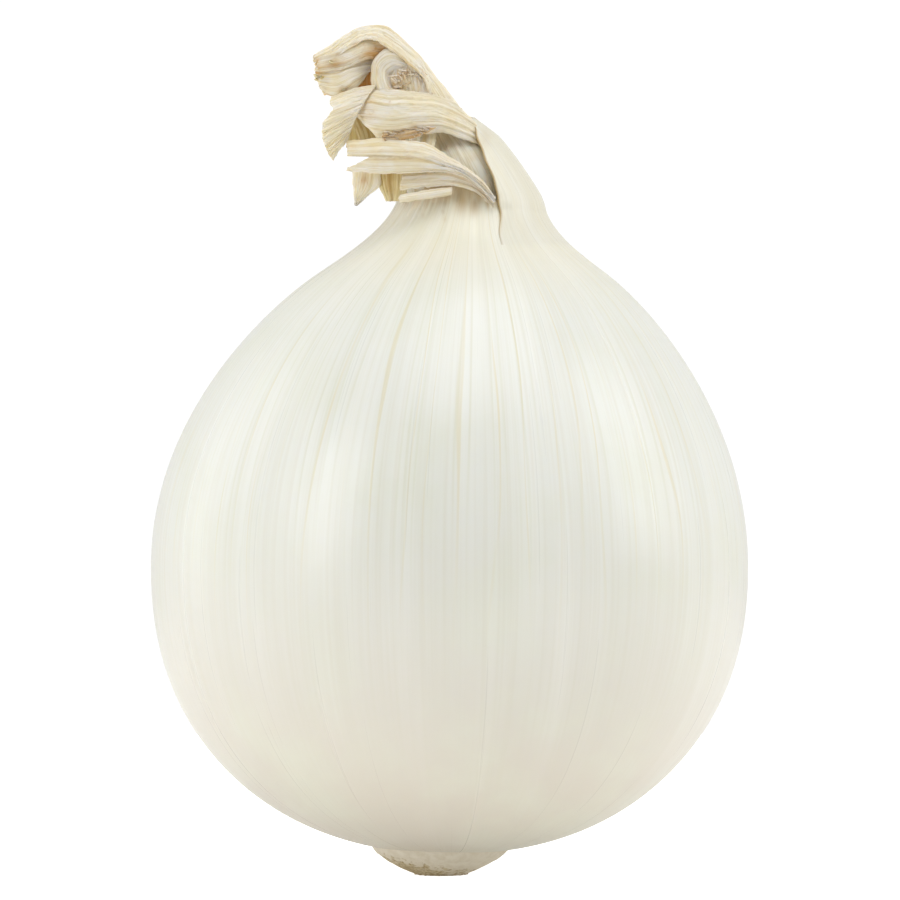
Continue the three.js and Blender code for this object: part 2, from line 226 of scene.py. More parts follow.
# At the rim the skin stands up torn behind the collar, and lower and ragged at the left.
past_rim = np.clip((bulb_share - RIM_SHARE) / (1 - RIM_SHARE), 0, 1)
rise_share = ramp(past_rim, 0, 0.4) - ramp(past_rim, 0.5, 0.8)
to_collar = np.cos(bulb_turn - COLLAR_TURN)
at_collar = ramp(to_collar, 0.8, 0.97)
at_left = ramp(-np.cos(bulb_turn), -0.1, 0.6) * (1 - ramp(to_collar, 0.6, 0.9))
torn_rim = round_waver(bulb_turn, 14, 2)
skin_rise = SKIN_RISE * at_collar * (1 + 0.25 * torn_rim)
skin_rise = skin_rise + SIDE_RISE * at_left * (0.8 + 1.6 * torn_rim)
bulb_height = bulb_height + skin_rise * rise_share
bulb_radius = bulb_radius - RISE_LEAN * at_collar * rise_share
bulb_x = bulb_shift(bulb_height) + bulb_radius * np.cos(bulb_turn)
bulb_y = bulb_radius * np.sin(bulb_turn)
move_vertices(bulb, np.stack([bulb_x, bulb_y, bulb_height], 1))
map_round(bulb, bulb_turn, bulb_height)

# A ragged brown band at the rim by the collar, partly the torn skin's own brown and partly painted shade
# under the collar, with the nicks and the patches of painted shade laid over it.
aged_and_shaded_height = bulb_height + AGED_AND_SHADED_WAVER * round_waver(bulb_turn, 26, bulb_height / (9 * MM))
bulb_age_and_shade = ramp(aged_and_shaded_height, RIM_HEIGHT + AGED_AND_SHADED_BORDER[0], RIM_HEIGHT + AGED_AND_SHADED_BORDER[1])
bulb_age_and_shade = bulb_age_and_shade * ramp(to_collar, 0.3, 0.8)
for x, z, size, strength in NICKS_AND_SHADE:
    far = np.hypot((bulb_x - x * MM) / size, (bulb_height - z * MM) / (size * 1.7)) / MM
    bulb_age_and_shade = np.maximum(bulb_age_and_shade, strength * np.exp(-(far**2)) * (bulb_y < 0))
mark_ageing_and_shade(bulb, BULB_AGEING_AND_SHADE * bulb_age_and_shade)
bpy.ops.object.shade_smooth()


def linear(hex_colour):
    """A colour written as sRGB hex, as the linear values that Blender's sockets take."""
    parts = [int(hex_colour[i : i + 2], 16) / 255 for i in (1, 3, 5)]
    return [p / 12.92 if p <= 0.04045 else ((p + 0.055) / 1.055) ** 2.4 for p in parts] + [1]


def new_material(name):
    made = bpy.data.materials.new(name)
    made.use_nodes = True
    return made, made.node_tree.nodes["Principled BSDF"]


def set_sockets(owner, node, inputs):
    """Gives a node's sockets their values, or joins other sockets to them. inputs are a list from the first
    socket on, or go by the sockets' own keys."""
    for key, value in inputs.items() if isinstance(inputs, dict) else enumerate(inputs):
        if isinstance(value, bpy.types.NodeSocket):
            owner.node_tree.links.new(value, node.inputs[key])
        else:
            node.inputs[key].default_value = value


def add_node(owner, kind, inputs=(), output=0, **settings):
    """Adds a node to a material or the world, and gives one of its outputs."""
    made = owner.node_tree.nodes.new("ShaderNode" + kind)
    for key, value in settings.items():
        setattr(made, key, value)
    set_sockets(owner, made, inputs)
    return made.outputs[output]


def wear(piece, material, node):
    """Gives a piece its material, hangs it on the root body, and hides the CAD part that it stands for."""
    piece.data.materials.clear()
    piece.data.materials.append(material)
    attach(piece, "root")
    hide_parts(node)


# A Map Range takes a value, the two values it runs from and the two it runs to. A Mix takes its share in
# socket 0, and its two colours in sockets 6 and 7.
SOFT = {"interpolation_type": "SMOOTHSTEP"}
COLOUR = {"data_type": "RGBA"}

# White onion skin, grown and dried on the bulb. Its wax gives a broad satin light with fine streaks in it.
# The veins show as thin straw lines that draw together at the neck, over flesh that is cool white at the
# shoulders and warmer near the root. Its darker tone low down is partly painted shade for the dim underside.
skin, skin_shader = new_material("onion_skin_dried_waxy")
meridian = add_node(skin, "Attribute", output="Vector", attribute_name="meridian")
skin_place = add_node(skin, "TexCoord", output="Object")
skin_height = add_node(skin, "SeparateXYZ", [meridian], "Z")
round_map = add_node(skin, "UVMap", uv_map="UVMap")
round_place = add_node(skin, "SeparateXYZ", [round_map], "X")
VEIN_SWAY = 1.2  # of the space between two veins


def along_meridians(round_scale, height_scale, detail):
    """Noise drawn out along the veins: round_scale features to a radian, height_scale to 100 mm."""
    scale = (round_scale, round_scale, height_scale)
    stretched = add_node(skin, "Mapping", {"Vector": meridian, "Scale": scale})
    return add_node(skin, "TexNoise", {"Vector": stretched, "Scale": 1, "Detail": detail})


def vein_lines(count, width, seed, height_share):
    """This many thin lines round the bulb, unevenly spaced, that waver and come and go as they climb."""
    place = add_node(skin, "Math", [round_place, count], operation="MULTIPLY")
    sway = along_meridians(4 + seed, 2.2, 1)
    place = add_node(skin, "Math", [sway, VEIN_SWAY, place], operation="MULTIPLY_ADD")
    cells = add_node(
        skin,
        "TexVoronoi",
        {"W": add_node(skin, "Math", [place, seed], operation="ADD"), "Scale": 1},
        "Distance",
        voronoi_dimensions="1D",
        feature="DISTANCE_TO_EDGE",
    )
    line = add_node(skin, "MapRange", [cells, width * 0.3, width, 1, 0], **SOFT)
    gaps = add_node(skin, "MapRange", [along_meridians(15 + seed, 2.5, 2), 0.38, 0.62, 0.1, 1], **SOFT)
    broken = add_node(skin, "Math", [line, gaps], operation="MULTIPLY")
    return add_node(skin, "Math", [broken, height_share], operation="MULTIPLY")


broad_streaks = along_meridians(6, 1.2, 3)
fine_streaks = along_meridians(60, 1.2, 5)
patches = add_node(skin, "TexNoise", {"Vector": skin_place, "Scale": 70, "Detail": 5})
streak_share = add_node(skin, "MapRange", [broad_streaks, 0.45, 0.75, 0, 0.3], **SOFT)
above_root = add_node(skin, "MapRange", [skin_height, 0.1, 0.4, 0.1, 1], **SOFT)
upper_half = add_node(skin, "MapRange", [skin_height, 0.3, 0.72, 0, 0.62], **SOFT)
below_neck = add_node(skin, "MapRange", [skin_height, 0.86, 0.97, 1, 0.3], **SOFT)
veins = vein_lines(60, 0.05, 3, upper_half)
thin_veins = vein_lines(150, 0.16, 7, upper_half)
thin_veins = add_node(skin, "Math", [thin_veins, below_neck], operation="MULTIPLY")
speck_distance = add_node(skin, "TexVoronoi", {"Vector": skin_place, "Scale": 55}, "Distance")
speck_cell = speck_distance.node.outputs["Color"]
speck_shape = add_node(skin, "MapRange", [speck_distance, 0.012, 0.022, 1, 0], **SOFT)
speck_choice = add_node(skin, "MapRange", [speck_cell, 0.55, 0.57, 0, 0.7], **SOFT)
ageing_and_shade = add_node(skin, "Attribute", output="Fac", attribute_name="ageing_and_shade")

# From the warm white by the root, each colour lies over the ones before it. The root colour is partly
# painted shade for the dim underside, which the cool shoulder colour lifts away higher up.
flesh = linear("#d8d0c2")
SKIN_COLOURS = [
    (add_node(skin, "MapRange", [skin_height, 0.05, 0.62, 0, 1], **SOFT), "#e8e9e1"),  # cool shoulders
    (add_node(skin, "MapRange", [skin_height, 0.82, 1.0, 0, 1], **SOFT), "#ece6cf"),  # straw neck
    (add_node(skin, "MapRange", [patches, 0.4, 0.75, 0, 0.5], **SOFT), "#e0e2d0"),  # greenish patches
    (add_node(skin, "Math", [streak_share, above_root], operation="MULTIPLY"), "#f6f6f0"),  # pale streaks
    (add_node(skin, "MapRange", [fine_streaks, 0.4, 0.72, 0, 0.3], **SOFT), "#dad6c5"),
    (add_node(skin, "Math", [veins, 0.7], operation="MULTIPLY"), "#ddd0a0"),
    (add_node(skin, "Math", [thin_veins, 0.5], operation="MULTIPLY"), "#d6d6bc"),
    (add_node(skin, "Math", [speck_shape, speck_choice], operation="MULTIPLY"), "#8d8d7c"),
    # Brown at the rim by the collar: partly the torn skin's own, partly painted shade.
    (add_node(skin, "MapRange", [ageing_and_shade, 0.05, 0.9, 0, 0.85], **SOFT), "#b5924f"),
]
for share, colour in SKIN_COLOURS:
    flesh = add_node(skin, "Mix", {0: share, 6: flesh, 7: linear(colour)}, 2, **COLOUR)
waxiness = add_node(skin, "MapRange", [fine_streaks, 0.3, 0.7, 0.27, 0.38], **SOFT)
grain = add_node(skin, "Math", [fine_streaks, veins], operation="ADD")
skin_bump = add_node(skin, "Bump", {"Strength": 0.22, "Distance": 0.1 * MM, "Height": grain})
skin_finish = {
    "Base Color": flesh,
    "Roughness": waxiness,
    "Normal": skin_bump,
    "IOR": 1.45,
    "Specular IOR Level": 0.8,
    "Subsurface Weight": 0.12,
    "Subsurface Radius": (1, 0.8, 0.5),
    "Subsurface Scale": 2 * MM,
}
set_sockets(skin, skin_shader, skin_finish)
wear(bulb, skin, "bulb")

# ---------------------------------------------------------------- free skin of the neck
# The outermost skin goes on up past the bulb's shoulder as a thin dry sheet. It wraps the right and the
# back of the neck, leans over with it, and ends at the front in a free edge that has turned brown.

HOOD_HEIGHTS = [-19, -12, -6, -2, 0.4, 3.5, 7.1, 9.9, 12.9]  # mm above the rim
HOOD_MIDDLES = [0, 0, 0, 0, 0, -0.9, -2.3, -3.6, -5.2]
HOOD_RADII = [0, 0, 16, 12.4, 11.1, 10.25, 9.15, 8.2, 5.9]
HOOD_LIFT = [-0.6, -0.34, -0.14, 0.06, 0.22]  # over the bulb, for the stations below the rim
HOOD_EDGE = [12, 16, 20, 22.5, 22, 24.5, 28.6, 34.5, 56]  # degrees from the front, round by the right
HOOD_END = [262, 256, 252, 248, 245, 240, 236, 230, 220]
HOOD_GRID = (170, 110)
EDGE_WAVER = 2.2  # degrees that the free edge strays
EDGE_CURL = 0.14 * MM  # how far it stands off the neck
SKIN_THICKNESS = 0.2 * MM
STAIN_X, STAIN_Z, STAIN_RADIUS = 5.4 * MM, 110.6 * MM, 1.3 * MM


def rail(stations, share):
    """Points at these shares of a smooth curve through the stations (a centripetal Catmull-Rom curve)."""
    points = np.array(stations, float)
    points = np.vstack([2 * points[0] - points[1], points, 2 * points[-1] - points[-2]])
    place = np.clip(share, 0, 1) * (len(stations) - 1)
    start = np.minimum(place.astype(int), len(stations) - 2)
    t = (place - start)[:, None]
    p0, p1, p2, p3 = (points[start + step] for step in range(4))
    spans = [np.linalg.norm(b - a, axis=1, keepdims=True) ** 0.5 for a, b in ((p0, p1), (p1, p2), (p2, p3))]
    d0, d1, d2 = (np.maximum(span, 1e-6) for span in spans)
    leave = ((p1 - p0) / d0 - (p2 - p0) / (d0 + d1) + (p2 - p1) / d1) * d1
    arrive = ((p2 - p1) / d1 - (p3 - p1) / (d1 + d2) + (p3 - p2) / d2) * d1
    curve = p1 + leave * t + (3 * (p2 - p1) - 2 * leave - arrive) * t**2
    return curve + (2 * (p1 - p2) + leave + arrive) * t**3


def profile(values, share):
    """Single values drawn smoothly through evenly spaced stations."""
    return rail([[value] for value in values], share)[:, 0]


def sheet_piece(name, columns, rows):
    """A flat sheet to be shaped. Gives the piece, and its points across and along, each from -1 to 1."""
    deselect_all()
    bpy.ops.mesh.primitive_grid_add(x_subdivisions=columns, y_subdivisions=rows, size=2)
    piece = bpy.context.object
    piece.name = name
    sheet = vertices_of(piece)
    return piece, sheet[:, 0], sheet[:, 1]


def thicken(piece, thickness):
    """Gives a sheet its thickness, half to each side."""
    deselect_all()
    piece.select_set(True)
    bpy.context.view_layer.objects.active = piece
    wall = piece.modifiers.new("thickness", "SOLIDIFY")
    wall.thickness = thickness
    wall.offset = 0
    bpy.ops.object.modifier_apply(modifier=wall.name)
    bpy.ops.object.shade_smooth()


hood, hood_across, hood_along = sheet_piece("neck_free_skin", *HOOD_GRID)
hood_across = (hood_across + 1) / 2
hood_share = (hood_along + 1) / 2
torn_top = 0.05 * np.abs(waver(hood_across * 40, 0, 5))
hood_share = hood_share * (1 - torn_top * ramp(hood_share, 0.6, 1))
hood_height = RIM_HEIGHT + MM * profile(HOOD_HEIGHTS, hood_share)
hood_from = profile(HOOD_EDGE, hood_share) + EDGE_WAVER * waver(hood_share * 9, 0, 2)
hood_turn = np.radians(hood_from + (profile(HOOD_END, hood_share) - hood_from) * hood_across - 90)

# Below the rim it lies on the bulb, and above it the skin follows the neck's own stations.
outline_share = np.linspace(SHOULDER_SHARE - 0.1, RIM_SHARE, 400)
outline_radius, outline_height = bulb_outline(outline_share)
on_bulb = np.interp(hood_height, outline_height, outline_radius)
on_bulb = on_bulb + skin_relief(hood_turn, np.minimum(hood_height, RIM_HEIGHT))
lift = MM * profile(HOOD_LIFT, np.clip(hood_share * (len(HOOD_HEIGHTS) - 1) / (len(HOOD_LIFT) - 1), 0, 1))
own_radius = MM * profile(HOOD_RADII, hood_share)
leaves_bulb = ramp(hood_height, RIM_HEIGHT - 1.5 * MM, RIM_HEIGHT + 0.8 * MM)
hood_radius = (on_bulb + lift) * (1 - leaves_bulb) + own_radius * leaves_bulb
free_edge = np.exp(-((hood_across / 0.03) ** 2)) * ramp(hood_height, RIM_HEIGHT - 8 * MM, RIM_HEIGHT)
hood_radius = hood_radius + EDGE_CURL * free_edge
pleats = round_waver(hood_turn, 11, hood_height / (25 * MM) + 9)
pleats = pleats * ramp(hood_height, RIM_HEIGHT - 2 * MM, RIM_HEIGHT + 4 * MM)
hood_radius = hood_radius + PLEAT_HEIGHT * pleats
own_middle = NECK_LEAN + MM * profile(HOOD_MIDDLES, hood_share)
hood_middle = np.where(hood_height < RIM_HEIGHT, bulb_shift(hood_height), own_middle)
hood_x = hood_middle + hood_radius * np.cos(hood_turn)
hood_y = hood_radius * np.sin(hood_turn)
move_vertices(hood, np.stack([hood_x, hood_y, hood_height], 1))
map_round(hood, hood_turn, hood_height)

edge_age = ramp(hood_height, RIM_HEIGHT - 14 * MM, RIM_HEIGHT + 3 * MM)
edge_age = edge_age * np.exp(-((hood_across / 0.007) ** 2))
stain_far = np.hypot(hood_x - STAIN_X, 0.6 * (hood_height - STAIN_Z))
stain_age = 0.3 * np.exp(-((stain_far / STAIN_RADIUS) ** 2)) * (hood_y < 0)
top_age = 0.25 * ramp(hood_share, 0.95, 1.0)
mark_ageing_and_shade(hood, np.maximum(edge_age, np.maximum(stain_age, top_age)))
thicken(hood, SKIN_THICKNESS)
wear(hood, skin, "bulb")

# ---------------------------------------------------------------- root plate
# The onion's short woody stem: a disc of pale cork that every leaf grows from. Its roots were trimmed off
# when it was dried, and their brown stubs and scurf are left on its underside.

plate_low, plate_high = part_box("root_plate")
PLATE_MIDDLE = (plate_low.x + plate_high.x) / 2
PLATE_RADIUS = (plate_high.x - plate_low.x) / 2
PLATE_HEIGHT = plate_high.z
FOOT_RADIUS = 3.6 * MM
FOOT_HOLLOW = 0.3 * MM  # how far the middle of the foot stands off the ground
PLATE_SIDES = 180
PLATE_RINGS = 90
FOOT_SHARE = 0.3  # share of the rings where the foot ends
SIDE_SHARE = 0.75  # where the swelling side ends
PLATE_TOP = 0.9  # where the wall inside the bulb ends
PLATE_INSET = 0.2 * MM  # room for the scurf
SKIN_STEP = 0.14 * MM
SKIN_ENDS = (2.6 * MM, 4.0 * MM)  # heights where two skins of the bulb end
STUB_LENGTH = (0.25 * MM, 0.55 * MM)
STUB_RADIUS = 0.24 * MM
STUB_BEVEL = 0.05 * MM
STUB_COUNT = 80
STUB_SPREAD = 4 * MM
GOLDEN_TURN = math.radians(137.5)


def plate_outline(share):
    """Radius and height of the plate: across its foot, up its swelling side and over its hidden top."""
    foot = np.clip(share / FOOT_SHARE, 0, 1)
    side = np.clip((share - FOOT_SHARE) / (SIDE_SHARE - FOOT_SHARE), 0, 1)
    up = np.clip((share - SIDE_SHARE) / (PLATE_TOP - SIDE_SHARE), 0, 1)
    radius = FOOT_RADIUS * foot * (1 - side) ** 2 + PLATE_RADIUS * (2 * side * (1 - side) + side**2)
    radius = np.where(share < FOOT_SHARE, FOOT_RADIUS * foot, radius)
    height = PLATE_HEIGHT * (0.32 * 2 * side * (1 - side) + 0.62 * side**2 + 0.38 * up)
    height = height + FOOT_HOLLOW * (1 - foot**4)
    radius = radius * (1 - ramp(share, PLATE_TOP, 1))
    return radius, height


def plate_relief(turn, height):
    """The scurf on the plate, and the ends of the bulb's outer skins, which ring it like low steps."""
    scurf = round_waver(turn, 9, height / (0.8 * MM))
    coarse = round_waver(turn, 3, height / (2.5 * MM) + 4)
    tilt = height + 0.5 * MM * np.cos(turn) + 0.25 * MM * coarse
    steps = SKIN_STEP * sum(ramp(tilt, end, end + 0.15 * MM) for end in SKIN_ENDS)
    return steps + (0.16 * MM * scurf + 0.2 * MM * coarse) * (1 - ramp(tilt, 1.5 * MM, 3 * MM))


def copy_of(shape):
    """A copy of a modelled shape, with its own mesh."""
    copy = shape.copy()
    copy.data = shape.data.copy()
    bpy.context.scene.collection.objects.link(copy)
    return copy


def join_pieces(pieces, name):
    deselect_all()
    for piece in pieces:
        piece.select_set(True)
    bpy.context.view_layer.objects.active = pieces[0]
    bpy.ops.object.join()
    bpy.context.object.name = name
    return bpy.context.object


plate, plate_turn, plate_share = round_piece("root_plate_cork", PLATE_SIDES, PLATE_RINGS)
plate_radius, plate_height = plate_outline(plate_share)
relief = plate_relief(plate_turn, plate_height) * ramp(plate_radius, 1 * MM, FOOT_RADIUS)
relief = relief - PLATE_INSET * ramp(plate_radius, 0, FOOT_RADIUS)
plate_radius = np.maximum(plate_radius + relief, 0)
plate_x = PLATE_MIDDLE + plate_radius * np.cos(plate_turn)
move_vertices(plate, np.stack([plate_x, plate_radius * np.sin(plate_turn), plate_height], 1))
bpy.ops.object.shade_smooth()

# Trimmed roots: one stub is modelled and the rest are copies of it, set out like seeds in a flower head.
deselect_all()
bpy.ops.mesh.primitive_cone_add(vertices=7, radius1=STUB_RADIUS, radius2=STUB_RADIUS * 0.7, depth=1 * MM)
stub = bpy.context.object
bpy.ops.object.mode_set(mode="EDIT")
bpy.ops.mesh.select_all(action="SELECT")
bpy.ops.mesh.bevel(offset=STUB_BEVEL, segments=1, affect="EDGES")
bpy.ops.object.mode_set(mode="OBJECT")
radius_table, height_table = plate_outline(np.linspace(0, 0.72, 500))
stubs = []
for number in range(STUB_COUNT):
    spread = math.sqrt((number + 0.5) / STUB_COUNT) * STUB_SPREAD
    turn = number * GOLDEN_TURN
    draws = [noise.noise(Vector((number * 3.7, seed, 0))) for seed in (1, 2, 3)]
    height = float(np.interp(spread, radius_table, height_table))
    length = STUB_LENGTH[0] + (STUB_LENGTH[1] - STUB_LENGTH[0]) * abs(draws[0]) * 2
    outward = ramp(np.array([spread]), FOOT_RADIUS * 0.8, 9 * MM)[0]
    lean_x = outward * math.cos(turn) + draws[1]
    lean_y = outward * math.sin(turn) + draws[2]
    lean = Vector((lean_x, lean_y, -1 + outward * 0.5))
    copy = copy_of(stub)
    middle = Vector((PLATE_MIDDLE + spread * math.cos(turn), spread * math.sin(turn), height))
    copy.rotation_mode = "QUATERNION"
    copy.rotation_quaternion = lean.to_track_quat("Z", "Y")
    copy.scale = (1 + draws[1], 1 + draws[1], length / MM)
    copy.location = middle + lean.normalized() * length * 0.25
    stubs.append(copy)
bpy.data.objects.remove(stub)
roots = join_pieces(stubs, "root_stubs")
bpy.ops.object.transform_apply(location=True, rotation=True, scale=True)
stub_places = vertices_of(roots)
stub_places[:, 2] = np.maximum(stub_places[:, 2], 0)
move_vertices(roots, stub_places)
bpy.ops.object.shade_smooth_by_angle(angle=math.radians(50))

# Onion root plate, trimmed and cured: matt cork. Skin colour runs down its side, and brown scurf takes over
# in a ragged border near the foot, further up on the left.
cork, cork_shader = new_material("onion_root_plate_cured_cork")
cork_place = add_node(cork, "TexCoord", output="Object")
cork_x = add_node(cork, "SeparateXYZ", [cork_place], "X")
cork_z = add_node(cork, "SeparateXYZ", [cork_place], "Z")
ragged = add_node(cork, "TexNoise", {"Vector": cork_place, "Scale": 900, "Detail": 5})
crumbs = add_node(cork, "TexNoise", {"Vector": cork_place, "Scale": 2200, "Detail": 3})
left_rise = add_node(cork, "MapRange", [cork_x, -11 * MM, 2 * MM, 2.6 * MM, 0.3 * MM], **SOFT)
border = add_node(cork, "Math", [cork_z, left_rise], operation="SUBTRACT")
border_waver = add_node(cork, "MapRange", [ragged, 0.3, 0.7, -0.9 * MM, 0.9 * MM], **SOFT)
border = add_node(cork, "Math", [border, border_waver], operation="ADD")
crumb_share = add_node(cork, "MapRange", [crumbs, 0.35, 0.65, 0, 1], **SOFT)
tint_share = add_node(cork, "MapRange", [ragged, 0.35, 0.7, 0, 0.6], **SOFT)
above_border = add_node(cork, "MapRange", [border, -0.2 * MM, 0.7 * MM, 0, 1], **SOFT)
scurf = add_node(cork, "Mix", {0: crumb_share, 6: linear("#b09a72"), 7: linear("#d9ccab")}, 2, **COLOUR)
side_skin = add_node(cork, "Mix", {0: tint_share, 6: linear("#eee6d5"), 7: linear("#ddd2bb")}, 2, **COLOUR)
cork_colour = add_node(cork, "Mix", {0: above_border, 6: scurf, 7: side_skin}, 2, **COLOUR)
cork_bump = add_node(cork, "Bump", {"Strength": 0.5, "Distance": 0.1 * MM, "Height": crumbs})
cork_finish = {"Base Color": cork_colour, "Roughness": 0.8, "Normal": cork_bump, "IOR": 1.45}
set_sockets(cork, cork_shader, cork_finish)
wear(plate, cork, "root_plate")
wear(roots, cork, "root_plate")

# ---------------------------------------------------------------- neck core
# The younger leaves stand rolled up in the neck. They dried as one soft stalk of ribbed layers, which
# withered above the rim and bent over to the left.

CORE_PATH = [
    (0, 0, -3), (0, 0, 0.3), (-0.8, 0, 3.6), (-2.4, 0, 7.2),
    (-4.4, 0, 10.8), (-6.9, 0, 14.6), (-9.3, 0, 17.6), (-11.8, 0, 20.2),
]
CORE_RADII = [9.3, 9.5, 9.1, 7.8, 4.9, 3.1, 2.8, 2.3]
CORE_LEAN = [0, 0, 0, 6, 22, 38, 42, 45]  # degrees that the cross-section tips over
CORE_SIDES = 220
CORE_RINGS = 130
CORE_FOOT = 0.04  # share of the rings that close its foot
CORE_END = 0.94  # share where its round end begins
RIB_HEIGHT = 0.26 * MM
FIBRE_WRAP = 6  # the fibre pattern's size round the core
FIBRE_RUN = 24  # and along it


def in_neck(points):
    """Places given in mm from the middle of the rim, in the onion's own frame."""
    return np.array(points, float) * MM + np.array([NECK_LEAN, 0, RIM_HEIGHT])


core, core_turn, core_share = round_piece("neck_core_rolled_leaves", CORE_SIDES, CORE_RINGS)
body_share = np.clip((core_share - CORE_FOOT) / (CORE_END - CORE_FOOT), 0, 1)
past_end = np.clip(core_share - CORE_END, 0, 1) / (1 - CORE_END)
round_end = np.sqrt(np.clip(1 - past_end**2, 0, 1)) * ramp(core_share, 0, CORE_FOOT)
lean = np.radians(profile(CORE_LEAN, body_share))
ribs = round_waver(core_turn, 5, body_share * 1.5)
fine_ribs = round_waver(core_turn, 16, body_share * 2)
core_radius = MM * profile(CORE_RADII, body_share) - RIB_HEIGHT * (np.abs(1.6 * ribs) - 0.5 * fine_ribs)
core_radius = core_radius * round_end
side = core_radius * np.cos(core_turn)
section = np.stack([side * np.cos(lean), core_radius * np.sin(core_turn), side * np.sin(lean)], 1)
core_places = in_neck(rail(CORE_PATH, body_share)) + section
core_x, core_z = core_places[:, 0], core_places[:, 2]
move_vertices(core, core_places)
wrap = FIBRE_WRAP * np.cos(core_turn), FIBRE_WRAP * np.sin(core_turn)
mark_points(core, "fibre", *wrap, FIBRE_RUN * body_share)

# It is browner under the strap leaf, behind the free edge of the skin, and a little in the hole above:
# painted shade where the leaves and the skin cover it.
strap_shadow = 0.22 * np.exp(-(((core_z - 110.5 * MM) / (2 * MM)) ** 2))
edge_shade = 0.4 * np.exp(-(((core_z - 103 * MM) / (1.6 * MM)) ** 2)) * ramp(core_x, 5 * MM, 7 * MM)
hole_shade = 0.18 * ramp(core_z, 114 * MM, 117 * MM)
mark_ageing_and_shade(core, np.clip(strap_shadow + edge_shade + hole_shade, 0, 1))
bpy.ops.object.shade_smooth()


def dried_leaf_material(name, pale, warm, fibre_colour, aged_and_shade_colour):
    """Dried onion leaf: a matt, papery sheet of parallel fibres. They show as fine pale and straw lines
    about half a millimetre apart, and turn brown where the leaf is torn or stayed damp. The brown along its
    creases, and in sheets that lie in shadow, is painted shade. It is thin enough to let some light through,
    which keeps its shadows warm."""
    made, shader = new_material(name)
    fibre = add_node(made, "Attribute", output="Vector", attribute_name="fibre")
    place = add_node(made, "TexCoord", output="Object")
    age_and_shade = add_node(made, "Attribute", output="Fac", attribute_name="ageing_and_shade")

    def lines(spacing, length, detail):
        """Noise drawn out along the fibres, by its spacing and length in mm."""
        scale = (1 / spacing, 1 / spacing, 1 / length)
        stretched = add_node(made, "Mapping", {"Vector": fibre, "Scale": scale})
        return add_node(made, "TexNoise", {"Vector": stretched, "Scale": 1, "Detail": detail})

    broad = lines(0.6, 12, 3)
    fine = lines(0.2, 9, 2)
    blotch = add_node(made, "TexNoise", {"Vector": place, "Scale": 300, "Detail": 3})
    strand_away = add_node(made, "Math", [lines(0.55, 16, 0), 0.5], operation="SUBTRACT")
    strand_away = add_node(made, "Math", [strand_away], operation="ABSOLUTE")
    strands = add_node(made, "MapRange", [strand_away, 0, 0.05, 1, 0], **SOFT)
    streaky = add_node(made, "MapRange", [broad, 0.3, 0.7, -0.14, 0.14], **SOFT)
    uneven_age_and_shade = add_node(made, "Math", [age_and_shade, streaky], operation="ADD")

    # From the pale colour, each one lies over or darkens the ones before it.
    colour = linear(pale)
    layers = [
        (add_node(made, "MapRange", [blotch, 0.38, 0.62, 0, 1], **SOFT), warm, "MIX"),
        (add_node(made, "MapRange", [broad, 0.48, 0.68, 0, 0.35], **SOFT), fibre_colour, "MIX"),
        (add_node(made, "MapRange", [fine, 0.5, 0.64, 0, 0.6], **SOFT), fibre_colour, "MIX"),
        (add_node(made, "Math", [strands, 0.4], operation="MULTIPLY"), fibre_colour, "MULTIPLY"),
        # The brown layer is the leaf's own browning together with the painted shade kept with it.
        (add_node(made, "MapRange", [uneven_age_and_shade, 0.1, 1.0, 0, 0.95], **SOFT), aged_and_shade_colour, "MIX"),
    ]
    for share, over, blend_type in layers:
        pair = {0: share, 6: colour, 7: linear(over)}
        colour = add_node(made, "Mix", pair, 2, blend_type=blend_type, **COLOUR)
    dryness = add_node(made, "MapRange", [broad, 0.3, 0.7, 0.6, 0.8], **SOFT)
    grain = add_node(made, "Bump", {"Strength": 0.7, "Distance": 0.08 * MM, "Height": fine})
    finish = {
        "Base Color": colour,
        "Roughness": dryness,
        "Normal": grain,
        "IOR": 1.45,
        "Subsurface Weight": 0.5,
        "Subsurface Radius": (1, 0.8, 0.5),
        "Subsurface Scale": 1.2 * MM,
    }
    set_sockets(made, shader, finish)
    return made


stalk_leaf = dried_leaf_material("onion_neck_withered_pale", "#f6f2e4", "#f0e9d4", "#d8cdaa", "#b38d55")
wear(core, stalk_leaf, "neck_core")

# ---------------------------------------------------------------- dried leaves
# Above the rim the outer leaves withered into papery blades. They were twisted and folded over while still
# limp, and have torn along their fibres. Each is one thin sheet between an edge, a middle and an edge.

LEAF_THICKNESS = 0.24 * MM
COLUMN = 0.1  # mm, the width of one strip of the mesh
ROW = 0.28  # mm, its length
NEAR = 0.01  # a small step on a leaf, to find which way it faces


def blade_surface(rails, across, share):
    """A parabola across the three rails: across is -1 at the first edge, 0 in the middle, 1 at the other."""
    edge, middle, other = (rail(stations, share) for stations in rails)
    s = across[:, None]
    return middle + (other - edge) * s / 2 + ((edge + other) / 2 - middle) * s * s


def leaf_size(rails):
    """Its middle width and its length, in mm."""
    share = np.linspace(0, 1, 40)
    edge, middle, other = (rail(stations, share) for stations in rails)
    width = np.linalg.norm(edge - middle, axis=1) + np.linalg.norm(other - middle, axis=1)
    return width.mean(), np.linalg.norm(np.diff(middle, axis=0), axis=1).sum()


def jagged(across, width, depth, number):
    """How far a tear runs in along each fibre, in mm: long splits and short fibre ends."""
    along = across * width / 2
    splits = np.abs(waver(along / 1.3, number, 0))
    ends = np.abs(waver(along / 0.35, number, 8))
    return depth * (1.1 * splits + 0.7 * ends)


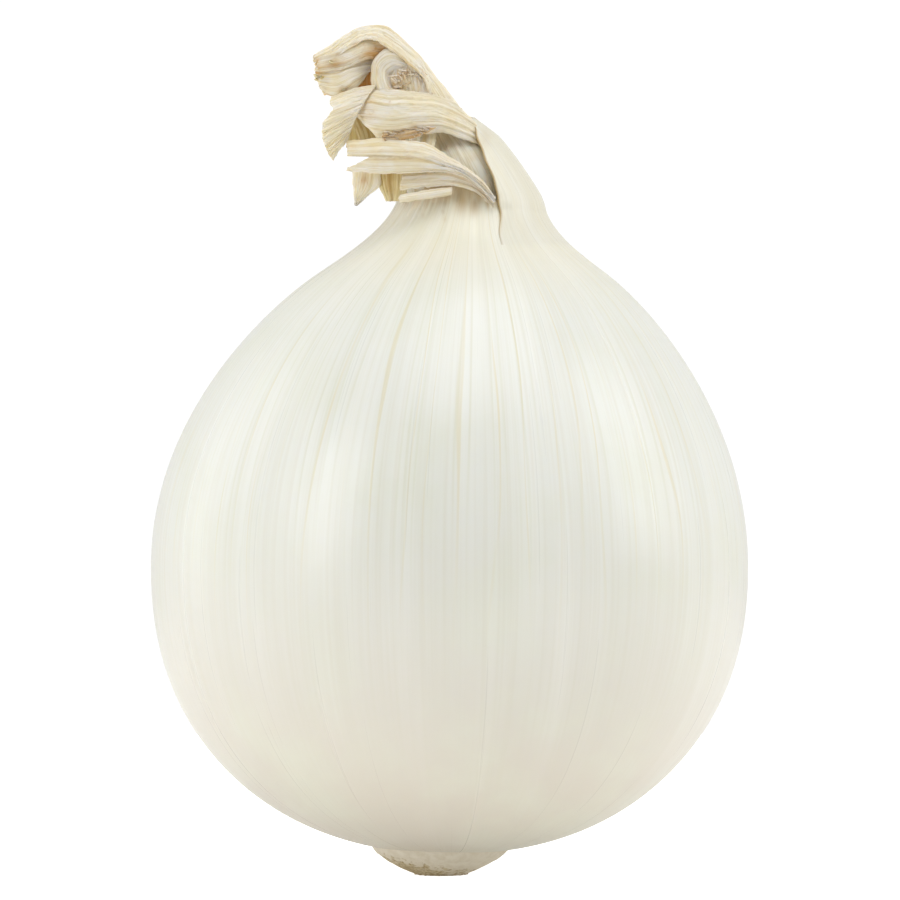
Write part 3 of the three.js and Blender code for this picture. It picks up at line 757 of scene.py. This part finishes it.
def dried_leaf(name, material, node, rails, torn=0.5, root_torn=0, creases=(), stains_and_shade=(),
               relief=0.07, crumple=0.22, notch=None, age_and_shade=0.0, edge_age=0.25, number=0):
    """One dried leaf. torn and root_torn are how ragged its ends are, and relief and crumple how high its
    fibres and its waves stand, all in mm. creases are (across, depth in mm, width) along its fibres, browned
    with painted shade, and stains (x, z, radius, strength) in the neck's own mm are browner patches, some
    the leaf's own marks and some painted shade. notch gives how much of its length is torn off at its tip,
    by the place across it. age is how brown it all is, its own browning and painted shade for sheets in
    shadow, and edge_age how much more its edges are. number gives each leaf its own random shape."""
    width, length = leaf_size(rails)
    columns = max(8, round(width / COLUMN))
    rows = max(8, round(length / ROW))
    leaf, across, along = sheet_piece(name, columns, rows)

    # Its torn ends and its nibbled edges.
    share = (along + 1) / 2
    tip_cut = jagged(across, width, torn, number) / length + (notch(across) if notch else 0)
    root_cut = jagged(across, width, root_torn, number + 50) / length
    share = root_cut + share * (1 - tip_cut - root_cut)
    run = share * length
    nibble = np.abs(waver(run / 1.6, 4 * np.sign(across), number))
    nibble = nibble + 0.5 * np.abs(waver(run / 0.5, 9 * np.sign(across), number))
    pulled = across * (1 - 0.5 * nibble / width * np.abs(across) ** 3)

    # Where it lies, and which way it faces.
    middle = blade_surface(rails, pulled, share)
    wide = blade_surface(rails, pulled + NEAR, share) - blade_surface(rails, pulled - NEAR, share)
    long = blade_surface(rails, pulled, share + NEAR) - blade_surface(rails, pulled, share - NEAR)
    normal = np.cross(wide, long)
    normal = normal / np.maximum(np.linalg.norm(normal, axis=1, keepdims=True), 1e-12)

    # Its fibres, waves, wrinkles and creases. A wave has a height, and a width and a length in mm.
    fibre_at = across * width / 2
    waves = [(relief, 0.36, 9), (0.5 * relief, 0.2, 6), (0.7 * crumple, 2.4, 3.4)]
    height = np.zeros_like(run)
    for kind, (size, wave_width, wave_length) in enumerate(waves):
        height = height + size * waver(fibre_at / wave_width, run / wave_length, number + 20 * kind)
    wrinkle = waver(fibre_at / 1.1, run / 2.2, number + 60)
    height = height - 0.45 * crumple * np.exp(-((wrinkle / 0.09) ** 2))
    # Along the wrinkles and the creases the leaf is browned with painted shade.
    crease_shade = 0.22 * np.exp(-((wrinkle / 0.05) ** 2)) * ramp(run, 0, 2)
    for place, depth, spread in creases:
        line = np.exp(-(((across - place) / spread) ** 2))
        height = height - depth * line
        crease_shade = np.maximum(crease_shade, min(0.4, abs(depth)) * line)
    places = middle + normal * height[:, None]

    ageing_and_shade = age_and_shade + crease_shade + edge_age * (ramp(np.abs(across), 0.9, 1) + ramp(along, 0.93, 1))
    for x, z, radius, strength in stains_and_shade:
        far = np.hypot(places[:, 0] - x, places[:, 2] - z)
        ageing_and_shade = ageing_and_shade + strength * np.exp(-((far / radius) ** 2))
    move_vertices(leaf, in_neck(places))
    mark_points(leaf, "fibre", fibre_at, 10 * number, run)
    mark_ageing_and_shade(leaf, np.clip(ageing_and_shade, 0, 1))
    thicken(leaf, LEAF_THICKNESS)
    wear(leaf, material, node)


pale_leaf = dried_leaf_material("onion_leaf_dried_pale", "#f8eddb", "#f4e5c9", "#dfca9c", "#b98846")
# A darker, golden copy of the pale leaf, for sheets that lie in shadow in the tuft: its colour is painted
# shade.
painted_shade_leaf = dried_leaf_material(
    "onion_leaf_dried_shaded_golden", "#e4d7b0", "#d8c698", "#bfa66c", "#a9722c"
)

# The broad outer leaf. It comes up the right side, folds over the top and opens at the left.
dried_leaf(
    "bent_leaf_folded", pale_leaf, "bent_leaf",
    (
        [(-4.2, -7.4, 13), (-6, -7.3, 16.2), (-7, -7.1, 18.7), (-9.2, -6.9, 20.6), (-12.4, -6.6, 23.2),
         (-15, -6.4, 24.4), (-17.4, -6.2, 23.3), (-20, -5.8, 21.5), (-22.8, -4.6, 20.9)],
        [(-0.8, -2.6, 13.2), (-4.5, -1.4, 18), (-8.5, 0, 22.5), (-11.1, 0, 25), (-13.2, 0, 26.3),
         (-15.9, 0, 25.8), (-18.6, 0, 24.7), (-21.3, -0.6, 23), (-23.4, -1, 21.2)],
        [(-5.5, 4.9, 12.5), (-8.5, 5.8, 14.8), (-11.5, 6.1, 16.8), (-13.5, 6.2, 18), (-15, 6.2, 18.8),
         (-16.5, 6.1, 18.6), (-18.5, 6, 18), (-20.5, 5.6, 17.2), (-22, 5.2, 16.5)],
    ),
    torn=0.9, crumple=0.3, number=1,
    creases=[(-0.72, 0.3, 0.05), (-0.45, -0.2, 0.06), (0.1, 0.15, 0.05)],
    stains_and_shade=[(-22.2, 21, 1.1, 0.5), (-19.8, 20.8, 1.2, 0.5), (-17, 23.6, 1, 0.3)],
)

# Two inner leaves that show in the open end of the fold, one under the other, and a dark golden-brown lining
# at the back of the slot beside them, whose colour is painted shade for the deep gap.
dried_leaf(
    "mouth_leaf_upper_blade", pale_leaf, "mouth_leaf_upper",
    (
        [(-11.8, -4.8, 23.6), (-15.2, -5.2, 24.4), (-18, -5.5, 23.4), (-22.4, -4.6, 21.7)],
        [(-12.3, -5.2, 22.7), (-15.3, -6.1, 22.8), (-18.3, -6.1, 21.6), (-22.8, -5.2, 20.6)],
        [(-12.9, -4.8, 21.6), (-15.6, -5.6, 21.3), (-18.6, -5.8, 19.9), (-22.6, -5, 19.4)],
    ),
    torn=0.8, crumple=0.2, age_and_shade=0.22, number=2, creases=[(0.35, 0.25, 0.1)],
    # The patches at (-14.6, 21.8) and (-12.8, 22.7) are painted shade under the edge of the fold.
    stains_and_shade=[(-20, 20.4, 1, 0.3), (-14.6, 21.8, 1.4, 0.4), (-12.8, 22.7, 1.5, 0.45)],
)
dried_leaf(
    "mouth_leaf_lower_blade", pale_leaf, "mouth_leaf_lower",
    (
        [(-13.9, -3.8, 21.6), (-16.8, -4.6, 21.4), (-19.8, -4.8, 20.8), (-23.2, -4, 20.6)],
        [(-14.6, -4.2, 20.4), (-17.4, -5.6, 19.2), (-19.9, -5.7, 18), (-23, -4.4, 18.5)],
        [(-15.4, -3.8, 19.2), (-16.8, -5.2, 17.2), (-19, -5.6, 15.9), (-21.8, -4.8, 16)],
    ),
    torn=0.7, crumple=0.25, age_and_shade=0.04, number=3, creases=[(-0.3, 0.18, 0.08), (0.4, 0.15, 0.08)],
    stains_and_shade=[(-22.6, 19.2, 0.8, 0.5), (-18.8, 16.7, 0.7, 0.6), (-21.6, 16.6, 0.6, 0.4)],
)
# Dark golden-brown at the back of the slot: painted shade for the deep gap.
dried_leaf(
    "slot_shade_lining", painted_shade_leaf, "mouth_leaf_lower",
    (
        [(-16.9, -3.4, 21.6), (-16.9, -4, 19), (-16.8, -4, 16.6)],
        [(-15.3, -3.6, 21.8), (-15.2, -4.2, 19), (-15.2, -4.2, 16.6)],
        [(-13.6, -3.4, 21.6), (-13.5, -4, 19), (-13.6, -4, 16.6)],
    ),
    torn=0.2, crumple=0.2, age_and_shade=0.75, number=4,
)

# The pale leaf that comes out from under the free skin, crosses the front and turns back at the left.
dried_leaf(
    "strap_leaf_blade", pale_leaf, "strap_leaf",
    (
        [(0.2, -3.2, 12.9), (-2.4, -5, 14.9), (-4.8, -6.5, 16), (-8.2, -7, 16.5), (-11.6, -7.1, 16.8),
         (-14, -6.4, 17), (-15.6, -4.6, 16.4)],
        [(1.2, -5.2, 10.7), (-1.5, -6.9, 12.2), (-4.4, -8.7, 13.2), (-8, -9.6, 13.4), (-11.6, -9.6, 13.2),
         (-14.8, -8.2, 13.6), (-17.4, -5.6, 13.6)],
        [(1.5, -6.4, 8.5), (-1, -7.3, 9.3), (-3.9, -8.8, 10.2), (-7.2, -9.2, 10), (-10.8, -9.1, 9.1),
         (-13.2, -8.4, 9), (-14.8, -6, 12.6)],
    ),
    torn=0.5, crumple=0.28, number=5, creases=[(-0.35, 0.12, 0.07), (0.2, 0.18, 0.05), (0.6, 0.2, 0.06)],
    stains_and_shade=[(-8, 10.3, 1.1, 0.6), (-11, 9.6, 1, 0.4), (1.2, 9, 0.7, 0.5), (-15, 13.6, 1.7, 0.32),
            (-11.8, 14.8, 0.25, 0.5)],
)

# Its upper margin curls up and round the left of the hole in the front.
dried_leaf(
    "twist_leaf_curl", pale_leaf, "twist_leaf",
    (
        [(-7.4, -5.2, 19.6), (-9.6, -5.8, 21.6), (-12.4, -5.9, 22.9), (-14.2, -5.6, 21.4),
         (-14.6, -5.6, 18.8), (-14.2, -6.2, 16.6), (-12.4, -7, 14.8), (-9.5, -7.6, 14.2)],
        [(-7, -5.4, 19), (-9, -6, 20.4), (-11.6, -6.6, 21.2), (-13.1, -6.4, 20.1), (-13.2, -6.7, 18.3),
         (-12.6, -7.1, 16.7), (-10.9, -7.6, 15.6), (-8.2, -8, 15.2)],
        [(-6.6, -5.2, 18.4), (-8.4, -5.4, 19.2), (-10.4, -5.6, 19.5), (-11.6, -5.6, 18.8),
         (-11.7, -5.7, 17.8), (-11, -5.6, 16.9), (-9.4, -6.2, 16.5), (-7, -6.6, 16.3)],
    ),
    torn=0.3, crumple=0.16, number=6, relief=0.09, creases=[(-0.4, 0.15, 0.08), (0.3, 0.15, 0.08)],
    # The patch at (-13.8, 21.8) is painted shade under the edge of the fold.
    stains_and_shade=[(-11.3, 19.4, 0.8, 0.3), (-13.8, 21.8, 1.3, 0.3)],
)

# The leaf that hangs down at the left, its fibres slanting across it, and the ones behind it, in the golden
# copy whose colour is painted shade.
dried_leaf(
    "hanging_leaf_blade", pale_leaf, "hanging_leaf",
    (
        [(-13.9, -6.8, 17.4), (-17.2, -6.6, 16.8), (-20.5, -5.4, 15.8)],
        [(-16.5, -8.4, 13.2), (-19.1, -8, 12), (-21.9, -7, 10.6)],
        [(-18.1, -7.6, 9.2), (-19.2, -7.2, 7.8), (-20.3, -6.3, 6.1)],
    ),
    torn=0.12, crumple=0.3, relief=0.2, number=7, edge_age=0.1,
    notch=lambda across: 0.2 * np.exp(-(((across + 0.52) / 0.2) ** 2)),
    creases=[(-0.2, 0.12, 0.05), (0.25, 0.15, 0.05)],
)
dried_leaf(
    "inner_hanging_leaf_blade", painted_shade_leaf, "inner_hanging_leaf",
    (
        [(-15.4, -4.6, 14.6), (-14.2, -5, 11.4), (-13.2, -4.8, 8.4)],
        [(-16.6, -5, 13.6), (-15.5, -5.4, 10.8), (-14.8, -5.2, 8.4)],
        [(-17.8, -4.6, 12.8), (-16.9, -5, 10.4), (-16.2, -4.8, 8.2)],
    ),
    torn=0.4, crumple=0.25, relief=0.13, age_and_shade=0.1, number=8,
)
# The hindmost sheet fills the dark gap behind, browner still: painted shade.
dried_leaf(
    "inner_hanging_leaf_behind", painted_shade_leaf, "inner_hanging_leaf",
    (
        [(-13, -3.4, 12.4), (-13, -3.6, 10.4), (-13, -3.4, 8.2)],
        [(-15.8, -3.2, 13), (-15.8, -3.4, 10.6), (-15.8, -3.2, 8.2)],
        [(-18.6, -3.8, 12.4), (-18.5, -4, 10.4), (-18.4, -3.8, 8.2)],
    ),
    torn=0.2, crumple=0.2, age_and_shade=0.2, number=9,
)

# The collar: a torn leaf wrapped across the front, the layer under it, and a strip that curled up pale.
dried_leaf(
    "collar_leaf_blade", pale_leaf, "collar_leaf",
    (
        [(3.9, -11.6, 0.4), (2.2, -11.5, 2.7), (-0.6, -11.5, 4.9), (-3.3, -11.1, 6.8), (-6.8, -10.6, 8.7),
         (-11.5, -9.6, 9.3), (-18.2, -7.4, 9.3)],
        [(3.8, -11.9, 0), (2, -12.1, 2.1), (-0.8, -12.2, 4.2), (-3.8, -12.1, 5.4), (-7.5, -11.9, 6.4),
         (-12, -10.9, 6.6), (-18.2, -8.4, 6.7)],
        [(3.8, -11.7, -0.4), (1.8, -11.9, 1.6), (-0.9, -12, 3.5), (-4, -12, 4.2), (-7.6, -11.8, 4.1),
         (-12, -10.8, 3.9), (-18.3, -8.2, 4.4)],
    ),
    torn=0.2, crumple=0.24, relief=0.11, number=10, edge_age=0.12,
    notch=lambda across: np.where(across < 0.02, 0, 0.095 * (1 - across / 0.75)).clip(0),
    creases=[(-0.28, 0.16, 0.05), (0.02, 0.22, 0.04), (0.4, 0.15, 0.05), (0.82, -0.2, 0.08)],
    stains_and_shade=[(-9, 6.2, 1.6, 0.12), (-13.5, 5.6, 1.3, 0.12), (1.5, 1.6, 1.8, 0.2)],
)
dried_leaf(
    "collar_under_leaf_blade", pale_leaf, "collar_under_leaf",
    (
        [(3.6, -10.9, -0.2), (1, -10.8, 2.6), (-2.4, -10.7, 4), (-6, -10.3, 4.3), (-10, -9.6, 4.1)],
        [(3.5, -11.2, -0.6), (0.9, -11.5, 1.9), (-2.6, -11.4, 3.1), (-6.2, -11, 3.1), (-10.3, -10.3, 2.8)],
        [(3.6, -11.3, -1), (0.9, -11.6, 1.2), (-2.7, -11.3, 2.2), (-6.2, -10.9, 1.9), (-10.4, -10.1, 1.6)],
    ),
    torn=0.7, crumple=0.2, relief=0.12, number=11, edge_age=0.2,
    creases=[(0.45, 0.25, 0.1), (-0.5, 0.2, 0.15)],
    # The patch at (-1, 3.9) is painted shade under the collar's edge.
    stains_and_shade=[(-1, 3.9, 1.4, 0.25), (2.4, 1.6, 0.9, 0.2)],
)
dried_leaf(
    "curled_strip_blade", pale_leaf, "curled_strip",
    (
        [(-2.5, -11.5, 2), (-6.4, -11.4, 1.5), (-10.4, -10.6, 0.8)],
        [(-2.5, -12.2, 1.5), (-6.4, -12.1, 0.9), (-10.6, -11.1, 0.3)],
        [(-2.6, -11.7, 0.9), (-6.5, -11.5, 0.3), (-10.4, -10.7, -0.2)],
    ),
    torn=0.25, root_torn=0.25, crumple=0.1, relief=0.08, number=12, edge_age=0.1,
)

# Torn pieces that hang under the collar at the left, and the strip that crosses the gap above it.
dried_leaf(
    "torn_flap_blade", pale_leaf, "torn_flap",
    (
        [(-17.5, -6, 5), (-17.4, -6.4, 2.6), (-17.1, -6.7, 0.8), (-17, -6.8, -0.5)],
        [(-15.4, -7, 5), (-15.8, -7.4, 2.4), (-16.5, -7.2, 0.6), (-16.9, -7, -0.6)],
        [(-13.1, -7.4, 5), (-13.2, -7.6, 2.5), (-15, -7.3, 1), (-16.8, -7, -0.6)],
    ),
    torn=0.1, crumple=0.2, relief=0.1, number=13, age_and_shade=0.05, stains_and_shade=[(-15.6, 3.4, 1.3, 0.35)],
)
dried_leaf(
    "leaf_stub_blade", painted_shade_leaf, "leaf_stub",
    (
        [(-13.6, -7, 5.4), (-13.4, -7.1, 2.4), (-12.2, -7.4, 0)],
        [(-11.3, -8, 5.4), (-11.2, -8.2, 2.4), (-11.2, -8.2, 0)],
        [(-8.8, -8.5, 5.4), (-9, -8.8, 2.4), (-9.9, -8.7, 0)],
    ),
    torn=0.2, crumple=0.2, relief=0.14, number=14, creases=[(-0.3, 0.3, 0.12), (0.3, 0.25, 0.12)],
)
dried_leaf(
    "short_strip_blade", pale_leaf, "short_strip",
    (
        [(-7, -6.9, 11.6), (-7, -7.9, 9.6), (-7.3, -9.1, 7.6)],
        [(-6, -7.1, 11.7), (-6, -8.4, 9.6), (-6.3, -9.6, 7.6)],
        [(-5, -6.9, 11.6), (-5, -7.9, 9.6), (-5.3, -9.1, 7.6)],
    ),
    torn=0.3, crumple=0.15, relief=0.12, number=15,
)

# ---------------------------------------------------------------- torn fibres
# Where a leaf tore, its fibres stand out as short splinters: in the hole in the front, along the strap's
# lower edge, and at the open end of the fold.

EYE_FIBRES = 60
FRINGE_FIBRES = 34
FOLD_FIBRES = 30
FRINGE_RADIUS = 0.17  # mm
FOLD_RADIUS = 0.28
FOLD_TUFTS = [(-20.2, 20.7, 1.3), (-22.2, 18.6, 0.5), (-18.9, 16.9, 0.6)]  # x, z and spread in mm

deselect_all()
bpy.ops.mesh.primitive_cylinder_add(vertices=7, radius=1, depth=2)
splinter = bpy.context.object
bpy.ops.object.mode_set(mode="EDIT")
bpy.ops.mesh.select_all(action="SELECT")
bpy.ops.mesh.subdivide(number_cuts=3)
bpy.ops.object.mode_set(mode="OBJECT")
splinter_shape = vertices_of(splinter)


def torn_fibres(name, material, node, fibres):
    """Splinters as one piece. Each is (root, tip, radius, ageing), in the neck's own mm."""
    made = []
    for number, (root, tip, radius, age_and_shade) in enumerate(fibres):
        copy = copy_of(splinter)
        root, tip = np.array(root, float), np.array(tip, float)
        line = tip - root
        length = np.linalg.norm(line)
        side = np.cross(line / length, (0.3, 0.2, 0.9))
        side = side / np.linalg.norm(side)
        up = np.cross(side, line / length)
        share = (splinter_shape[:, 2] + 1) / 2
        thin = radius * (1 - 0.65 * share**1.5) * (1 + 0.3 * waver(*(splinter_shape * 1.3 + number).T))
        bow = 0.16 * length * np.sin(share * math.pi) * noise.noise(Vector((number * 2.3, 1, 0)))
        sideways = splinter_shape[:, 0] * thin * 1.5 + bow
        upwards = splinter_shape[:, 1] * thin * 0.7
        places = root + line * share[:, None] + side * sideways[:, None] + up * upwards[:, None]
        move_vertices(copy, in_neck(places))
        mark_points(copy, "fibre", splinter_shape[:, 0] * radius, 3 * number, share * length)
        mark_ageing_and_shade(copy, np.full(len(share), age_and_shade))
        made.append(copy)
    joined = join_pieces(made, name)
    bpy.ops.object.shade_smooth_by_angle(angle=math.radians(60))
    wear(joined, material, node)


def chance(number, kind):
    """A value from about -1 to 1 for a splinter, the same each time."""
    return 1.6 * noise.noise(Vector((number * 1.37 + 0.5, kind * 4.1 + 0.3, 0.7)))


# The hole in the front is lined by one more leaf, with its fibres torn out every way.
dried_leaf(
    "eye_lining", pale_leaf, "neck_core",
    (
        [(-12.4, -5.2, 20.6), (-12.2, -5.5, 18.4), (-11.8, -5.9, 15.8)],
        [(-9, -6.1, 20.6), (-8.9, -6.5, 18.4), (-8.6, -6.8, 15.8)],
        [(-7, -6, 19.8), (-5.9, -6.6, 17.6), (-5.2, -6.8, 15.6)],
    ),
    torn=0.2, crumple=0.5, relief=0.1, age_and_shade=0.22, number=16,
    stains_and_shade=[(-10.4, 18.9, 0.6, 0.3), (-9.2, 19.4, 0.6, 0.3), (-10.9, 17.6, 0.6, 0.35),
            (-7.4, 18.6, 0.9, 0.2)],
)
eye_fibres = []
for number in range(EYE_FIBRES):
    across = -11 + 4.8 * ((number * 0.618) % 1)
    height = 16.7 + 2.9 * ((number * 0.414) % 1)
    tilt = 0.4 + 1.5 * chance(number, 1)
    reach = 0.9 + 0.6 * chance(number, 2)
    depth = -6.5 - 0.25 * chance(number, 3)
    root = (across, depth, height)
    tip = (across - reach * math.cos(tilt), depth - 0.2, height + reach * math.sin(tilt) * 0.8)
    eye_fibres.append((root, tip, 0.17 + 0.08 * chance(number, 4), 0.14 + 0.5 * abs(chance(number, 5))))
torn_fibres("eye_torn_fibres", pale_leaf, "neck_core", eye_fibres)

# Under the strap its torn underside hangs out as a brown, curled lip.
dried_leaf(
    "strap_torn_lip", pale_leaf, "strap_leaf",
    (
        [(-6.6, -9, 11.3), (-9.8, -9.5, 10.6), (-13, -9.1, 10.2)],
        [(-6.9, -9.6, 10.6), (-9.8, -10, 9.9), (-13, -9.7, 9.6)],
        [(-7.2, -9.5, 9.8), (-9.8, -9.9, 9.2), (-12.8, -9.6, 9)],
    ),
    torn=0.9, root_torn=0.7, crumple=0.5, relief=0.2, age_and_shade=0.58, number=17, creases=[(0.1, 0.3, 0.1)],
)
fringe_fibres = []
for number in range(FRINGE_FIBRES):
    along = number / (FRINGE_FIBRES - 1)
    across = -12.6 + 6.6 * along
    height = 10 + 0.6 * along + 0.6 * chance(number, 6)
    root = (across, -9.7, height)
    tip = (across + 0.7 + 0.8 * chance(number, 7), -10.2, height - 0.1 + 0.6 * chance(number, 8))
    fringe_fibres.append((root, tip, FRINGE_RADIUS, 0.3 + 0.6 * abs(chance(number, 8))))
torn_fibres("strap_torn_fringe", pale_leaf, "strap_leaf", fringe_fibres)

# At the open end of the fold they stand out in three small tufts.
fold_fibres = []
for number in range(FOLD_FIBRES):
    x, z, spread = FOLD_TUFTS[number % len(FOLD_TUFTS)]
    across = x + spread * chance(number, 9)
    height = z + 0.4 * chance(number, 10)
    depth = -5.6 - 0.3 * chance(number, 11)
    reach = 0.8 * chance(number, 12)
    root = (across, depth, height)
    tip = (across - reach, depth - 0.25, height + 0.4 * chance(number, 13) + 0.1)
    fold_fibres.append((root, tip, FOLD_RADIUS, 0.1 + 0.35 * abs(chance(number, 14))))
torn_fibres("fold_torn_fibres", painted_shade_leaf, "mouth_leaf_upper", fold_fibres)
bpy.data.objects.remove(splinter)

# ---------------------------------------------------------------- studio
# A plain white floor and backdrop, lit by four large soft boxes: the key at the front left, one at each side
# for the rims, and one overhead. Nothing here belongs to the onion.

FLOOR_LIGHT, FLOOR_SEEN = 0.17, 0.9  # how bright the floor is as a lamp, and as it is seen
ROOM_FRONT, ROOM_BACK, ROOM_SEEN = 0.05, 0.66, 1.05  # the same for the room, which is darker in front
SOFT_BOXES = [  # name, place from the onion's middle in metres, width, height and watts
    ("key_front_left", (-0.69, -0.56, 0.3), 0.3, 0.7, 2.6),
    ("rim_right", (0.8, -0.1, 0.42), 0.5, 0.8, 2.8),
    ("rim_left", (-0.8, 0.3, 0.3), 0.4, 0.8, 1.0),
    ("overhead", (0.1, -0.25, 0.92), 0.7, 0.7, 3.2),
]
SENSOR = 36
VIEW_WIDTH = 135.46 * MM  # at the onion's middle
CAMERA_DISTANCE = 1.0
VIEW_CENTRE = Vector((0.15 * MM, 0, 63.9 * MM))

deselect_all()
bpy.ops.mesh.primitive_circle_add(vertices=128, radius=0.5, fill_type="NGON")
floor = bpy.context.object
floor.name = "studio_floor"
paper, paper_shader = new_material("studio_paper_white")
paper_sight = add_node(paper, "LightPath", output="Is Camera Ray")
paper_finish = {
    "Base Color": linear("#f6f6f4"),
    "Roughness": 0.9,
    "Specular IOR Level": 0.1,
    "Emission Color": linear("#ffffff"),
    "Emission Strength": add_node(paper, "MapRange", [paper_sight, 0, 1, FLOOR_LIGHT, FLOOR_SEEN], **SOFT),
}
set_sockets(paper, paper_shader, paper_finish)
floor.data.materials.append(paper)

world = bpy.data.worlds.new("studio_white")
bpy.context.scene.world = world
world.use_nodes = True
backdrop = world.node_tree.nodes["Background"]
way = add_node(world, "TexCoord", output="Generated")
to_front = add_node(world, "VectorMath", [way, (0, -0.93, -0.37)], "Value", operation="DOT_PRODUCT")
room = add_node(world, "MapRange", [to_front, -0.1, 0.85, ROOM_BACK, ROOM_FRONT], **SOFT)
seen = add_node(world, "LightPath", output="Is Camera Ray")
level = add_node(world, "Mix", {0: seen, 2: room, 3: ROOM_SEEN})
set_sockets(world, backdrop, {"Color": (1, 1, 1, 1), "Strength": level})

middle = (cad_low + cad_high) / 2
for name, direction, width, height, power in SOFT_BOXES:
    box = bpy.data.lights.new(name, "AREA")
    box.shape = "RECTANGLE"
    box.size = width
    box.size_y = height
    box.energy = power
    stand = bpy.data.objects.new(name, box)
    bpy.context.scene.collection.objects.link(stand)
    stand.location = middle + Vector(direction)
    stand.rotation_mode = "QUATERNION"
    stand.rotation_quaternion = (-Vector(direction)).to_track_quat("-Z", "Y")

camera_data = bpy.data.cameras.new("camera")
camera_data.sensor_width = SENSOR
camera_data.lens = SENSOR * CAMERA_DISTANCE / VIEW_WIDTH
camera_data.clip_start = 0.05
camera_data.clip_end = 50
camera = bpy.data.objects.new("camera", camera_data)
bpy.context.scene.collection.objects.link(camera)
camera.location = VIEW_CENTRE - Vector((0, CAMERA_DISTANCE, 0))
camera.rotation_euler = (math.pi / 2, 0, 0)
bpy.context.scene.camera = camera
bpy.context.scene.view_settings.view_transform = "Standard"
